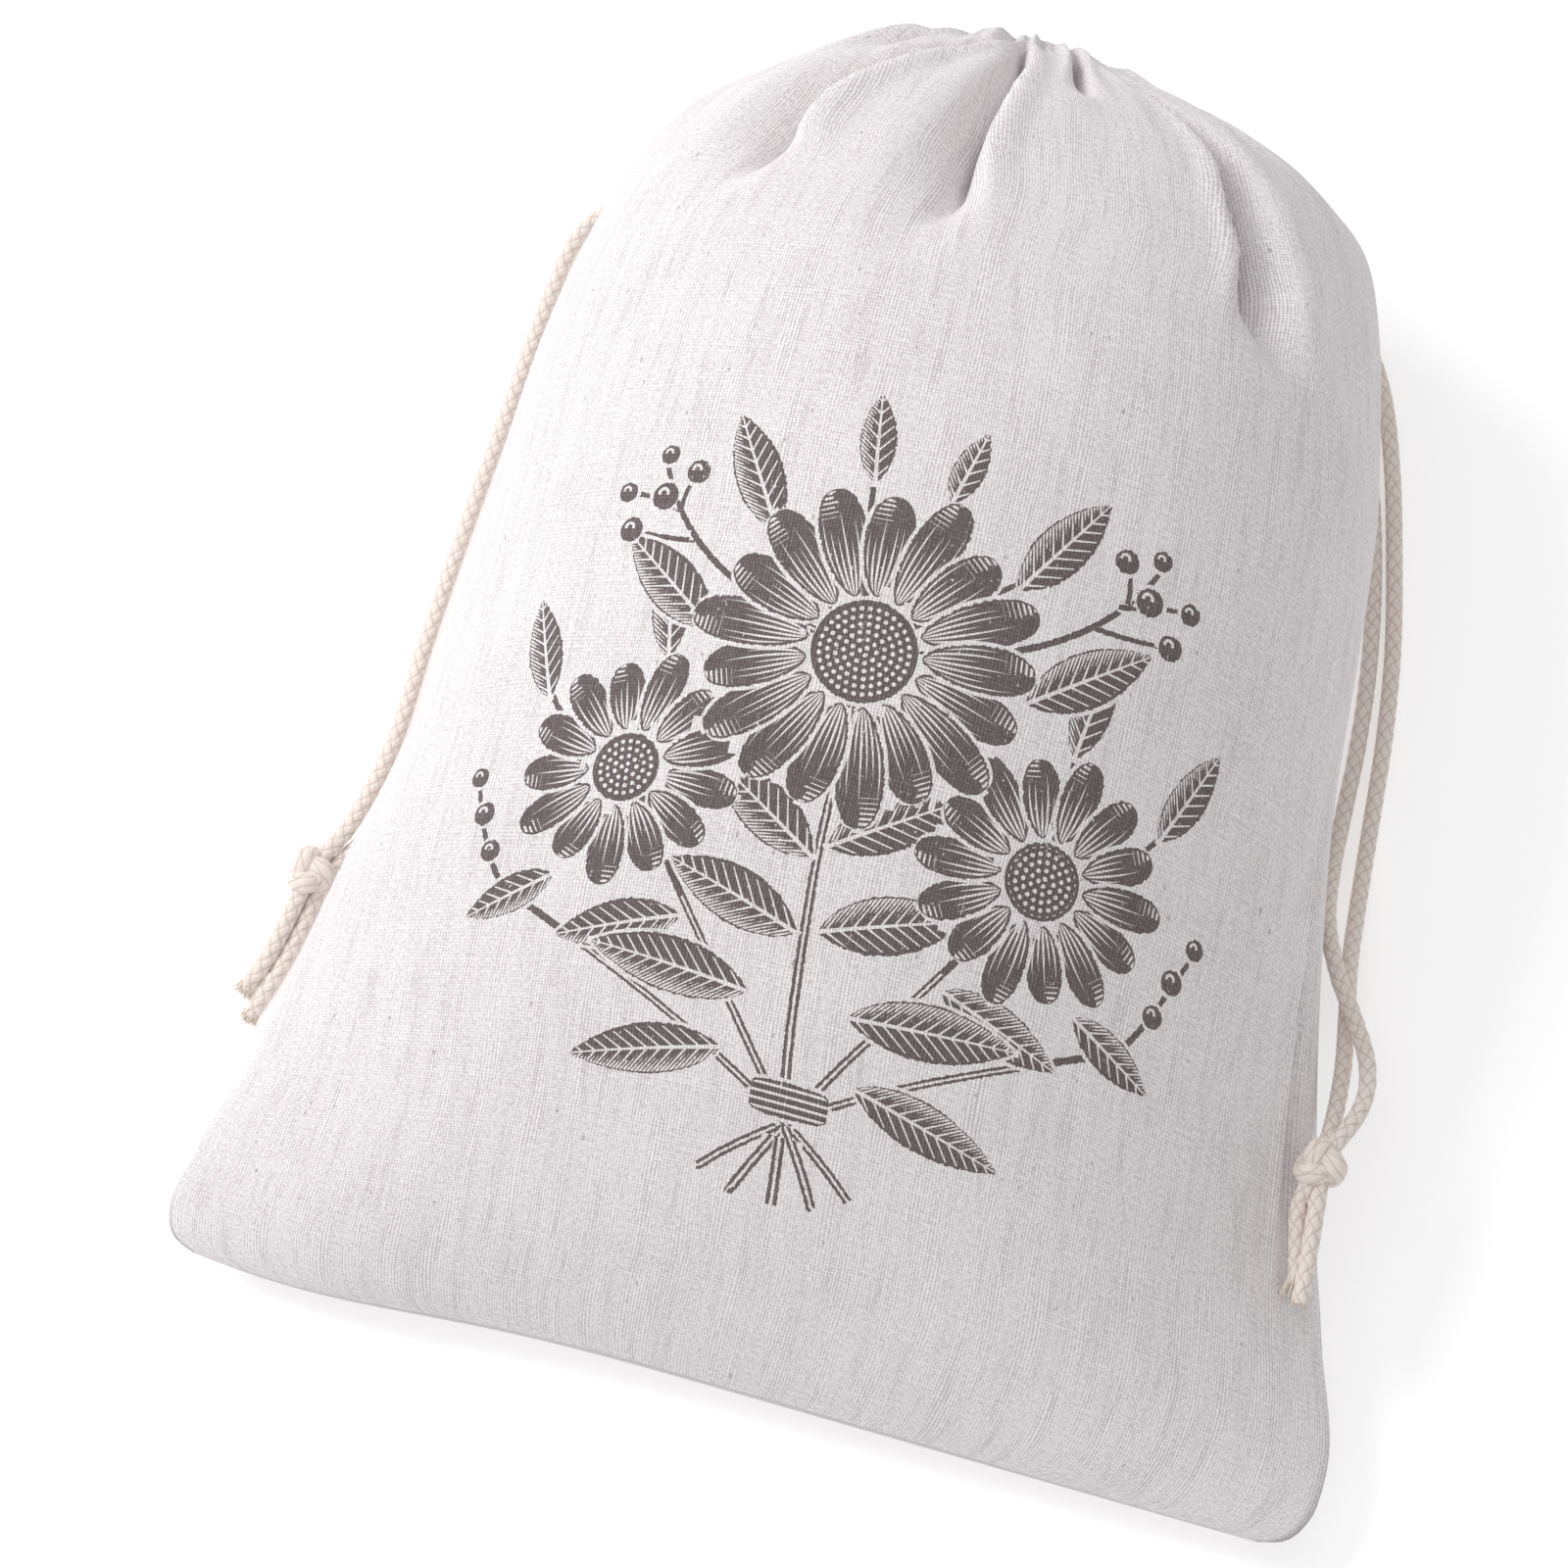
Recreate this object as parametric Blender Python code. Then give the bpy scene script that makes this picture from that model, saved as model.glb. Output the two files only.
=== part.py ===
import math

import bmesh
import bpy
import numpy as np
from mathutils import Vector

# Lengths in this script are millimetres in the bag's own frame until MM turns them into metres
MM = 0.001
FLAT_WIDTH = 300.0
CLOTH = 1.6
SEAM_ALLOWANCE = 6.0
SEAM_EASE_START = 60.0
SEAM_EASE = 140.0
SEAM_CLEAR = 20.0
SHOULDER_START = 285.0
SHOULDER_EASE = 60.0
BOTTOM_SLANT = 0.054
SLANT_REACH = 210.0
CORNER_SAG = 5.5
CORNER_SAG_X = -112.0
CORNER_SAG_WIDTH = 48.0
HALF_COLUMNS = 40
SECTION_SAMPLES = 361
FIRST_INNER_ROW = 6
CLOSE_INNER_ROWS = 14

# Mouth: the casing is gathered to a ring whose axis runs along Y
RING_X = -1.0
RING_Z = 52.0
PLEATS_PER_HALF = 8
PLEAT_SWAYS = ((0.9, 0.041, 1.3), (0.5, 0.093, 0.0))
PLEAT_SWELL = (0.25, 0.057, 2.0)
BACK_PHASE = 2.2
PLEAT_DEPTH = 2.7
PLEAT_REACH = 30.0
HOLE_PLEAT_DEPTH = 1.5
FOLD_AT_RING = 0.12
RING_EASE = 52.0
LIP_SHARE = 0.18
LIP_PLACE = 1.9
LIP_WIDTH = 0.8
RIM_LIMIT = 17.0

# Cords
CORD_DIAMETER = 4.5
CURVE_STEPS = 24
POINTS_PER_STRETCH = 1.6
KNOT_RADII = (6.4, 7.0, 6.2)
KNOT_WRAPS = 3
KNOT_GROOVE = 0.35
JOIN_GAP = 0.5

# Bag sections from the bottom edge to the gathered ring
# y, half width, crown height, base height, seam height, front exponent, back exponent, middle x, steps to the next
STATIONS = (
    (0.0, 137.0, 14.6, 10.6, 12.5, 1.5, 1.5, 0.2, 1),
    (1.6, 142.3, 17.5, 8.6, 12.6, 1.6, 1.4, 0.5, 1),
    (5.0, 145.6, 23.0, 5.5, 12.8, 1.7, 1.2, 1.0, 1),
    (12.0, 147.5, 32.0, 0.5, 13.2, 1.8, 0.9, 2.0, 2),
    (26.0, 146.2, 46.5, -5.0, 14.0, 1.8, 0.65, 3.6, 2),
    (50.0, 139.0, 66.0, -9.0, 17.0, 1.75, 0.5, 3.6, 2),
    (75.0, 133.0, 83.0, -11.0, 21.0, 1.6, 0.45, 2.5, 2),
    (106.0, 127.2, 99.0, -12.0, 27.0, 1.4, 0.45, 1.6, 2),
    (140.0, 120.6, 113.0, -12.0, 32.0, 1.18, 0.45, 2.0, 2),
    (181.0, 115.4, 122.0, -12.0, 37.0, 1.02, 0.45, 2.1, 2),
    (209.0, 114.4, 125.0, -12.0, 40.0, 0.98, 0.45, 1.8, 2),
    (242.0, 112.6, 124.0, -10.0, 44.0, 0.97, 0.5, 1.5, 2),
    (272.0, 108.6, 119.5, -7.0, 47.5, 0.98, 0.55, 1.8, 2),
    (298.0, 102.2, 111.5, -1.0, 50.0, 1.0, 0.7, 3.0, 2),
    (316.0, 92.3, 103.0, 6.0, 51.5, 1.0, 0.85, 3.6, 2),
    (330.0, 77.6, 94.5, 12.0, 52.0, 1.0, 1.0, 3.4, 2),
    (338.5, 61.0, 87.5, 16.5, 52.0, 1.0, 1.0, 2.2, 2),
    (344.5, 44.0, 82.6, 20.8, 52.0, 1.0, 1.0, 0.4, 1),
    (347.2, 33.5, 81.0, 22.4, 52.0, 1.0, 1.0, 0.0, 0),
)

# Mouth profile around the ring's axis, from the rim through the hole and back up inside the bag
# y, radius, share of the rim pleats
MOUTH = (
    (349.0, 28.0, 1.0),
    (349.8, 23.8, 1.0),
    (349.4, 19.0, 0.9),
    (347.4, 14.8, 0.8),
    (343.9, 12.4, 0.7),
    (336.4, 11.6, 0.6),
    (327.4, 12.0, 0.5),
    (323.4, 13.6, 0.4),
    (324.0, 15.6, 0.4),
    (329.4, 16.6, 0.4),
    (336.9, 17.6, 0.4),
    (341.9, 20.6, 0.6),
)

# Folds running from the mouth down the cloth
# side, mm across from the middle, depth, reach, left lip width, right lip width, drift per mm of reach
FOLDS = (
    ("front", 5.0, 8.5, 124.0, 11.0, 11.0, -0.71),
    ("front", 3.0, 12.0, 136.0, 11.0, 8.0, -0.10),
    ("front", 28.0, 5.0, 68.0, 7.0, 7.0, -0.08),
    ("front", 60.0, 12.0, 142.0, 8.0, 13.0, 0.16),
    ("front", 104.0, 6.0, 64.0, 10.0, 11.0, -0.05),
    ("back", -96.0, 7.0, 62.0, 12.0, 12.0, -0.05),
    ("back", -46.0, 8.0, 48.0, 11.0, 9.0, 0.05),
    ("back", 4.0, 6.0, 36.0, 9.0, 10.0, 0.00),
    ("back", 52.0, 8.0, 58.0, 10.0, 12.0, 0.05),
    ("back", 104.0, 6.0, 46.0, 12.0, 11.0, 0.00),
)

# Cord routes as x, y, z, each from its opening at the ring to its knot
LEFT_A = (
    (-23.5, 351.0, 55.2), (-25.5, 354.6, 54.2), (-32.0, 356.0, 48.5), (-43.0, 353.6, 37.5), (-59.0, 346.0, 23.0),
    (-82.0, 334.0, 8.5), (-103.0, 318.0, 3.2), (-114.8, 305.0, 2.4), (-118.7, 283.0, 2.4),
    (-121.3, 245.0, 2.4), (-123.4, 214.0, 2.4), (-125.2, 180.0, 2.4), (-126.2, 150.0, 2.4),
    (-130.6, 125.0, 4.6), (-137.4, 110.0, 8.6),
)
LEFT_B = (
    (-23.5, 351.0, 48.8), (-24.5, 354.0, 47.0), (-29.0, 354.8, 41.5), (-37.5, 351.5, 31.0), (-51.0, 342.5, 17.0),
    (-69.0, 329.5, 6.4), (-89.0, 313.0, 2.8), (-103.0, 293.0, 2.4), (-108.5, 266.0, 2.4),
    (-111.6, 238.0, 2.4), (-114.2, 208.0, 2.4), (-116.6, 177.0, 2.4), (-119.6, 148.0, 2.4),
    (-124.0, 127.0, 2.6), (-132.2, 109.5, 4.2),
)
RIGHT_A = (
    (21.5, 351.0, 55.2), (23.5, 354.6, 54.2), (30.0, 356.0, 48.5), (41.0, 353.2, 37.0), (57.0, 345.0, 22.0),
    (79.5, 333.0, 8.2), (97.5, 320.5, 3.2), (106.3, 307.0, 2.4), (113.3, 285.0, 2.4),
    (119.4, 257.0, 2.4), (123.8, 232.0, 2.4), (126.2, 208.0, 2.4), (127.4, 183.0, 2.6),
    (128.2, 163.0, 6.2), (129.2, 143.0, 13.2), (131.2, 126.0, 19.2), (132.7, 112.0, 24.2),
    (133.0, 99.0, 29.4), (131.4, 83.5, 35.0),
)
RIGHT_B = (
    (21.5, 351.0, 48.8), (22.5, 354.0, 47.0), (27.0, 354.8, 41.5), (35.5, 351.0, 30.5), (49.0, 341.5, 16.5),
    (67.5, 329.0, 6.4), (87.0, 314.0, 2.8), (101.0, 299.0, 2.4), (109.2, 277.0, 2.4),
    (115.0, 251.0, 2.4), (118.4, 227.0, 2.4), (119.8, 205.0, 2.4), (119.9, 186.0, 3.4),
    (120.0, 169.0, 8.2), (121.4, 153.0, 14.2), (126.4, 137.5, 20.4), (133.0, 124.5, 25.2),
    (138.4, 112.0, 29.2), (138.8, 99.5, 33.2), (134.6, 84.0, 37.6),
)
KNOT_LEFT = (-136.6, 108.6, 6.9)
KNOT_RIGHT = (132.0, 82.6, 36.4)
TAIL_LEFT_A = (
    KNOT_LEFT, (-140.3, 99.5, 3.8), (-141.9, 90.0, 2.6), (-143.8, 82.0, 2.4), (-146.2, 75.2, 2.4),
)
TAIL_LEFT_B = (
    KNOT_LEFT, (-134.2, 99.5, 3.4), (-136.2, 88.0, 2.6), (-139.0, 77.0, 2.4), (-141.8, 68.4, 2.4),
)
TAIL_RIGHT_A = (
    KNOT_RIGHT, (133.8, 73.5, 31.4), (134.2, 63.0, 29.2), (134.8, 55.0, 27.8), (135.2, 48.0, 26.6),
)
TAIL_RIGHT_B = (
    KNOT_RIGHT, (128.6, 72.8, 37.0), (129.1, 63.0, 34.6), (129.0, 57.5, 33.4), (128.7, 52.0, 32.2),
)

CLOTH_COLOUR = (0.80, 0.77, 0.76, 1.0)
CORD_COLOUR = (0.80, 0.74, 0.65, 1.0)


def clear_scene():
    for obj in list(bpy.data.objects):
        bpy.data.objects.remove(obj, do_unlink=True)


def cotton(name, colour):
    material = bpy.data.materials.new(name)
    material.use_nodes = True
    shader = material.node_tree.nodes["Principled BSDF"]
    shader.inputs["Base Color"].default_value = colour
    shader.inputs["Roughness"].default_value = 0.9
    shader.inputs["Metallic"].default_value = 0.0
    return material


def smooth_step(value):
    value = np.clip(value, 0.0, 1.0)
    return value * value * (3.0 - 2.0 * value)


# Station values read on a smooth curve that keeps each column within its neighbours
def interpolate(knots, values, at):
    step = np.diff(knots)
    slope = np.diff(values) / step
    tangent = np.zeros(len(values))
    tangent[0] = slope[0]
    tangent[-1] = slope[-1]
    for i in range(1, len(values) - 1):
        if slope[i - 1] * slope[i] > 0.0:
            tangent[i] = 2.0 * slope[i - 1] * slope[i] / (slope[i - 1] + slope[i])
    index = np.clip(np.searchsorted(knots, at, side="right") - 1, 0, len(step) - 1)
    t = (at - knots[index]) / step[index]
    start = values[index]
    end = values[index + 1]
    first = tangent[index] * step[index]
    second = tangent[index + 1] * step[index]
    return (
        start * (1 + 2 * t) * (1 - t) ** 2 + first * t * (1 - t) ** 2
        + end * t * t * (3 - 2 * t) + second * t * t * (t - 1)
    )


# One row of values for each cross-section, and its distance along the cloth from the ring
def section_rows():
    table = np.array(STATIONS)
    length = np.concatenate(([0.0], np.cumsum(np.hypot(np.diff(table[:, 0]), np.diff(table[:, 1])))))
    places = []
    for i in range(len(table) - 1):
        steps = int(table[i, 8])
        places += [length[i] + (length[i + 1] - length[i]) * k / steps for k in range(steps)]
    places.append(length[-1])
    places = np.array(places)
    rows = np.stack([interpolate(length, table[:, k], places) for k in range(8)], axis=1)
    return rows, length[-1] - places


# Half of a section from the left seam to the right one, with points spaced evenly along the cloth
def half_section(row, sign, inset, allowance):
    y, half, crown, base, seam, front, back, middle = row
    angle = np.linspace(-math.pi / 2, math.pi / 2, SECTION_SAMPLES)
    x = middle + (half - allowance) * np.sin(angle)
    lift = np.cos(angle).clip(0.0)
    if sign > 0:
        z = seam + (crown - inset - seam) * lift ** front
    else:
        z = seam + (base + inset - seam) * lift ** back
    z = np.maximum(z, inset)
    run = np.concatenate(([0.0], np.cumsum(np.hypot(np.diff(x), np.diff(z)))))
    wanted = np.linspace(0.0, run[-1], HALF_COLUMNS + 1)
    return np.interp(wanted, run, x), np.interp(wanted, run, z)


# Grid of points, one row of columns for each section, before the folds are pressed in
def smooth_grid(rows, inset):
    grid = []
    for row in rows:
        y = row[0]
        narrow = SEAM_ALLOWANCE * (1.0 - smooth_step((y - SEAM_EASE_START) / SEAM_EASE)) + CLOTH
        allowance = narrow if inset > 0.0 else 0.0
        top_x, top_z = half_section(row, 1, inset, allowance)
        low_x, low_z = half_section(row, -1, inset, allowance)
        x = np.concatenate((top_x[:-1], low_x[::-1][:-1]))
        z = np.concatenate((top_z[:-1], low_z[::-1][:-1]))
        fade = 1.0 - smooth_step(y / SLANT_REACH)
        sag = CORNER_SAG * np.exp(-((x - CORNER_SAG_X) / CORNER_SAG_WIDTH) ** 2)
        shift = fade * (-BOTTOM_SLANT * x - sag)
        pulled = inset * smooth_step((y - SHOULDER_START) / SHOULDER_EASE)
        grid.append(np.stack((x + RING_X, y + shift - pulled, z), axis=1))
    return np.array(grid)


def grid_normals(grid):
    along = np.gradient(grid, axis=0)
    across = np.roll(grid, -1, axis=1) - np.roll(grid, 1, axis=1)
    normal = np.cross(across, along)
    return normal / np.linalg.norm(normal, axis=2, keepdims=True).clip(1e-9)


# Column positions in mm from the middle of the front or back, and which of the two they are on
def column_places():
    across = np.linspace(-FLAT_WIDTH / 2, FLAT_WIDTH / 2, HALF_COLUMNS + 1)
    place = np.concatenate((across[:-1], across[::-1][:-1]))
    front = np.concatenate((np.ones(HALF_COLUMNS), np.zeros(HALF_COLUMNS)))
    return place, front


def clear_of_seams(place):
    return smooth_step((FLAT_WIDTH / 2 - np.abs(place)) / SEAM_CLEAR)


# Inward swing of the ring's pleats around the mouth, between -1 and 1
def pleat_wave(place, front):
    turn = place / FLAT_WIDTH * 2.0 * math.pi * PLEATS_PER_HALF
    uneven = sum(size * np.sin(place * rate + phase) for size, rate, phase in PLEAT_SWAYS)
    size, rate, phase = PLEAT_SWELL
    swell = 1.0 - size + size * np.sin(place * rate + phase * front)
    return np.cos(turn + uneven + BACK_PHASE * front) * swell * clear_of_seams(place)


# How far each grid point is pressed into the bag by the folds and by the ring's pleats
def fold_depths(reach_left):
    place, front = column_places()
    depth = np.zeros((len(reach_left), len(place)))
    for side, middle, deep, reach, left, right, drift in FOLDS:
        on_side = front if side == "front" else 1.0 - front
        for i, distance in enumerate(reach_left):
            offset = place - (middle + drift * distance)
            width = np.where(offset < 0.0, left, right)
            strength = smooth_step(1.0 - distance / reach)
            strength *= FOLD_AT_RING + (1.0 - FOLD_AT_RING) * smooth_step(distance / RING_EASE)
            trough = np.exp(-((offset / width) ** 2))
            lips = np.exp(-(((np.abs(offset) / width - LIP_PLACE) / LIP_WIDTH) ** 2))
            depth[i] += on_side * strength * deep * (trough - LIP_SHARE * lips)
    near = smooth_step(1.0 - reach_left / PLEAT_REACH)
    return depth * clear_of_seams(place) + np.outer(near, pleat_wave(place, front) * PLEAT_DEPTH)


def bag_surface(rows, reach_left, inset):
    grid = smooth_grid(rows, inset)
    pressed = grid - grid_normals(grid) * fold_depths(reach_left)[:, :, None]
    pressed[:, :, 2] = np.maximum(pressed[:, :, 2], inset)
    return pressed


def mouth_rows():
    place, front = column_places()
    wave = pleat_wave(place, front)
    quarter = place / FLAT_WIDTH * math.pi
    up = np.where(front > 0.5, 1.0, -1.0)
    rows = []
    for y, radius, share in MOUTH:
        depth = PLEAT_DEPTH if radius > RIM_LIMIT else HOLE_PLEAT_DEPTH
        reach = radius - share * depth * wave
        x = RING_X + reach * np.sin(quarter)
        z = RING_Z + up * reach * np.cos(quarter)
        rows.append(np.stack((x, np.full(len(x), y), z), axis=1))
    return rows


def bag_points():
    rows, reach_left = section_rows()
    outer = bag_surface(rows, reach_left, 0.0)
    close = len(rows) - CLOSE_INNER_ROWS
    kept = list(range(FIRST_INNER_ROW, close, 2)) + list(range(close, len(rows)))
    inner = bag_surface(rows, reach_left, CLOTH)[kept]
    return list(outer) + mouth_rows() + list(inner[::-1])


def cap_faces(start, flip):
    columns = 2 * HALF_COLUMNS
    faces = []
    for i in range(HALF_COLUMNS):
        top = (start + i, start + i + 1)
        low = (start + (columns - i) % columns, start + columns - i - 1)
        corners = [low[0], low[1], top[1], top[0]]
        face = []
        for corner in corners:
            if corner not in face:
                face.append(corner)
        faces.append(face[::-1] if flip else face)
    return faces


def bag_body(centre):
    rings = bag_points()
    columns = 2 * HALF_COLUMNS
    points = np.concatenate(rings) - centre
    faces = []
    for j in range(len(rings) - 1):
        for i in range(columns):
            k = (i + 1) % columns
            faces.append((j * columns + i, j * columns + k, (j + 1) * columns + k, (j + 1) * columns + i))
    faces += cap_faces(0, True)
    faces += cap_faces((len(rings) - 1) * columns, False)
    mesh = bpy.data.meshes.new("bag_body")
    mesh.from_pydata([tuple(p * MM) for p in points], [], faces)
    tidy = bmesh.new()
    tidy.from_mesh(mesh)
    bmesh.ops.recalc_face_normals(tidy, faces=tidy.faces)
    tidy.to_mesh(mesh)
    tidy.free()
    mesh.shade_smooth()
    body = bpy.data.objects.new("bag_body", mesh)
    bpy.context.collection.objects.link(body)
    body.data.materials.append(cotton("bag_cotton", CLOTH_COLOUR))
    return body


# The middle of the bag's floor outline, which is the part's origin
def bag_centre():
    rows, reach_left = section_rows()
    points = np.concatenate(list(bag_surface(rows, reach_left, 0.0)) + mouth_rows())
    low = points.min(axis=0)
    high = points.max(axis=0)
    return np.array(((low[0] + high[0]) / 2, (low[1] + high[1]) / 2, 0.0))


# Whether a point lies in a knot, or within the joining gap of it
def in_knot(point, place):
    offset = [(c - o) / (r + JOIN_GAP) for c, o, r in zip(point, place, KNOT_RADII)]
    return Vector(offset).length < 1.0


# Points on a smooth curve through a route, closer together where the route's own points are
def route_points(route, cut_start, cut_end):
    route = [Vector(p) for p in route]
    ends = [route[0] * 2 - route[1]] + route + [route[-1] * 2 - route[-2]]
    fine = []
    for i in range(1, len(ends) - 2):
        before, here, after, beyond = ends[i - 1:i + 3]
        for k in range(CURVE_STEPS):
            t = k / CURVE_STEPS
            fine.append(0.5 * (
                2 * here + (after - before) * t
                + (2 * before - 5 * here + 4 * after - beyond) * t * t
                + (3 * here - before - 3 * after + beyond) * t ** 3
            ))
    fine.append(route[-1])
    first = 0
    last = len(fine) - 1
    if cut_start:
        first = max(i for i, p in enumerate(fine) if in_knot(p, cut_start)) + 1
    if cut_end:
        last = min(i for i, p in enumerate(fine) if in_knot(p, cut_end)) - 1
    count = max(3, round((last - first) / CURVE_STEPS * POINTS_PER_STRETCH) + 1)
    places = np.linspace(first, last, count)
    index = np.arange(len(fine))
    return [[float(np.interp(place, index, [p[axis] for p in fine])) for axis in range(3)] for place in places]


def cord_tube(name, route, centre, cut_start=None, cut_end=None):
    curve = bpy.data.curves.new(name, "CURVE")
    curve.dimensions = "3D"
    curve.bevel_depth = CORD_DIAMETER / 2 * MM
    curve.bevel_resolution = 2
    curve.use_fill_caps = True
    curve.resolution_u = 1
    spline = curve.splines.new("POLY")
    points = route_points(route, cut_start, cut_end)
    spline.points.add(len(points) - 1)
    for target, point in zip(spline.points, points):
        target.co = [(c - o) * MM for c, o in zip(point, centre)] + [1.0]
    tube = bpy.data.objects.new(name, curve)
    bpy.context.collection.objects.link(tube)
    tube.data.materials.append(cotton(name + "_cotton", CORD_COLOUR))
    return tube


# An overhand knot as one rounded lump with a groove between its wraps
def knot(name, place, lean, centre):
    mesh = bpy.data.meshes.new(name)
    shape = bmesh.new()
    bmesh.ops.create_uvsphere(shape, u_segments=20, v_segments=12, radius=1.0)
    for vert in shape.verts:
        x, y, z = vert.co
        around = math.atan2(z, x)
        wrap = 0.5 - 0.5 * math.cos(KNOT_WRAPS * (math.pi * y + 0.5 * math.sin(around + lean)))
        size = 1.0 - KNOT_GROOVE * (1.0 - wrap) / KNOT_RADII[0]
        vert.co = Vector((x * KNOT_RADII[0], y * KNOT_RADII[1], z * KNOT_RADII[2])) * size * MM
    shape.to_mesh(mesh)
    shape.free()
    mesh.shade_smooth()
    lump = bpy.data.objects.new(name, mesh)
    lump.location = [(c - o) * MM for c, o in zip(place, centre)]
    bpy.context.collection.objects.link(lump)
    lump.data.materials.append(cotton(name + "_cotton", CORD_COLOUR))
    return lump


def cords(centre):
    cord_tube("cord_left_a", LEFT_A, centre, cut_end=KNOT_LEFT)
    cord_tube("cord_left_b", LEFT_B, centre, cut_end=KNOT_LEFT)
    cord_tube("cord_right_a", RIGHT_A, centre, cut_end=KNOT_RIGHT)
    cord_tube("cord_right_b", RIGHT_B, centre, cut_end=KNOT_RIGHT)
    knot("knot_left", KNOT_LEFT, 0.0, centre)
    knot("knot_right", KNOT_RIGHT, 1.2, centre)
    cord_tube("tail_left_a", TAIL_LEFT_A, centre, cut_start=KNOT_LEFT)
    cord_tube("tail_left_b", TAIL_LEFT_B, centre, cut_start=KNOT_LEFT)
    cord_tube("tail_right_a", TAIL_RIGHT_A, centre, cut_start=KNOT_RIGHT)
    cord_tube("tail_right_b", TAIL_RIGHT_B, centre, cut_start=KNOT_RIGHT)


def main():
    clear_scene()
    centre = bag_centre()
    bag_body(centre)
    cords(centre)


main()
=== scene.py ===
import math
import random
import bpy
import numpy as np
from mathutils import Matrix, Vector


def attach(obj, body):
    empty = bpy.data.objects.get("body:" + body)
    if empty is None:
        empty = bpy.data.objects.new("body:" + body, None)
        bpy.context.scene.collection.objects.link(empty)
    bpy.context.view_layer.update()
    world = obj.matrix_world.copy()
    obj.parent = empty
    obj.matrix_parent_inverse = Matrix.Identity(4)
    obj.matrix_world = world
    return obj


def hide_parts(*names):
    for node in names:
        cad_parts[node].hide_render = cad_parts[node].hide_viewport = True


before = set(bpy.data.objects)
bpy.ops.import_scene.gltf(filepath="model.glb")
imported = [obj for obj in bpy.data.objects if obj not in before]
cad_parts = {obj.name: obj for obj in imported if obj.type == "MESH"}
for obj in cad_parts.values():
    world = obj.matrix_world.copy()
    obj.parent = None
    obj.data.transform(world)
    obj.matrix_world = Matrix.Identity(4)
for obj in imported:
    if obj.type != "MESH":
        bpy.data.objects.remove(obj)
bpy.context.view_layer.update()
random.seed(11)

mm = 0.001
originInBag = np.array((1.30750672, 171.1956, 0.0))  # the part's origin, in the bag's own millimetres


# helpers
def toFrame(points):
    return (np.asarray(points, dtype=float) - originInBag) * mm


def ease(value):
    value = np.clip(value, 0.0, 1.0)
    return value * value * (3.0 - 2.0 * value)


def curveThrough(knots, values, at):
    # smooth curve that stays between neighbouring values
    knots = np.asarray(knots, dtype=float)
    values = np.asarray(values, dtype=float)
    step = np.diff(knots)
    slope = np.diff(values) / step
    tangent = np.zeros(len(values))
    tangent[0], tangent[-1] = slope[0], slope[-1]
    for i in range(1, len(values) - 1):
        if slope[i - 1] * slope[i] > 0.0:
            tangent[i] = 2.0 * slope[i - 1] * slope[i] / (slope[i - 1] + slope[i])
    index = np.clip(np.searchsorted(knots, at, side="right") - 1, 0, len(step) - 1)
    t = (at - knots[index]) / step[index]
    first, second = tangent[index] * step[index], tangent[index + 1] * step[index]
    return (values[index] * (1 + 2 * t) * (1 - t) ** 2 + first * t * (1 - t) ** 2
            + values[index + 1] * t * t * (3 - 2 * t) + second * t * t * (t - 1))


def runLength(points):
    # way along a line of points, from its first point to each
    return np.concatenate(([0.0], np.cumsum(np.linalg.norm(np.diff(points, axis=0), axis=1))))


def pointsAt(line, run, at):
    return np.stack([np.interp(at, run, line[:, k]) for k in range(3)], axis=1)


def tubeFaces(rings, columns, start=0, forward=False):
    faces = []
    for j in range(rings - 1):
        low, high = start + j * columns, start + (j + 1) * columns
        for i in range(columns):
            k = (i + 1) % columns
            corners = [low + i, high + i, high + k, low + k]
            if forward:
                corners = [low + i, low + k, high + k, high + i]
            faces.append(corners)
    return faces


def loopVertices(mesh):
    found = np.zeros(len(mesh.loops), dtype=int)
    mesh.loops.foreach_get("vertex_index", found)
    return found


def setUv(mesh, name, uv):
    mesh.uv_layers.new(name=name).data.foreach_set("uv", uv.ravel())


def meshPiece(name, verts, faces):
    mesh = bpy.data.meshes.new(name)
    mesh.from_pydata([tuple(v) for v in verts], [], [tuple(f) for f in faces])
    mesh.validate()
    obj = bpy.data.objects.new(name, mesh)
    bpy.context.collection.objects.link(obj)
    mesh.shade_smooth()
    return obj


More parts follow.
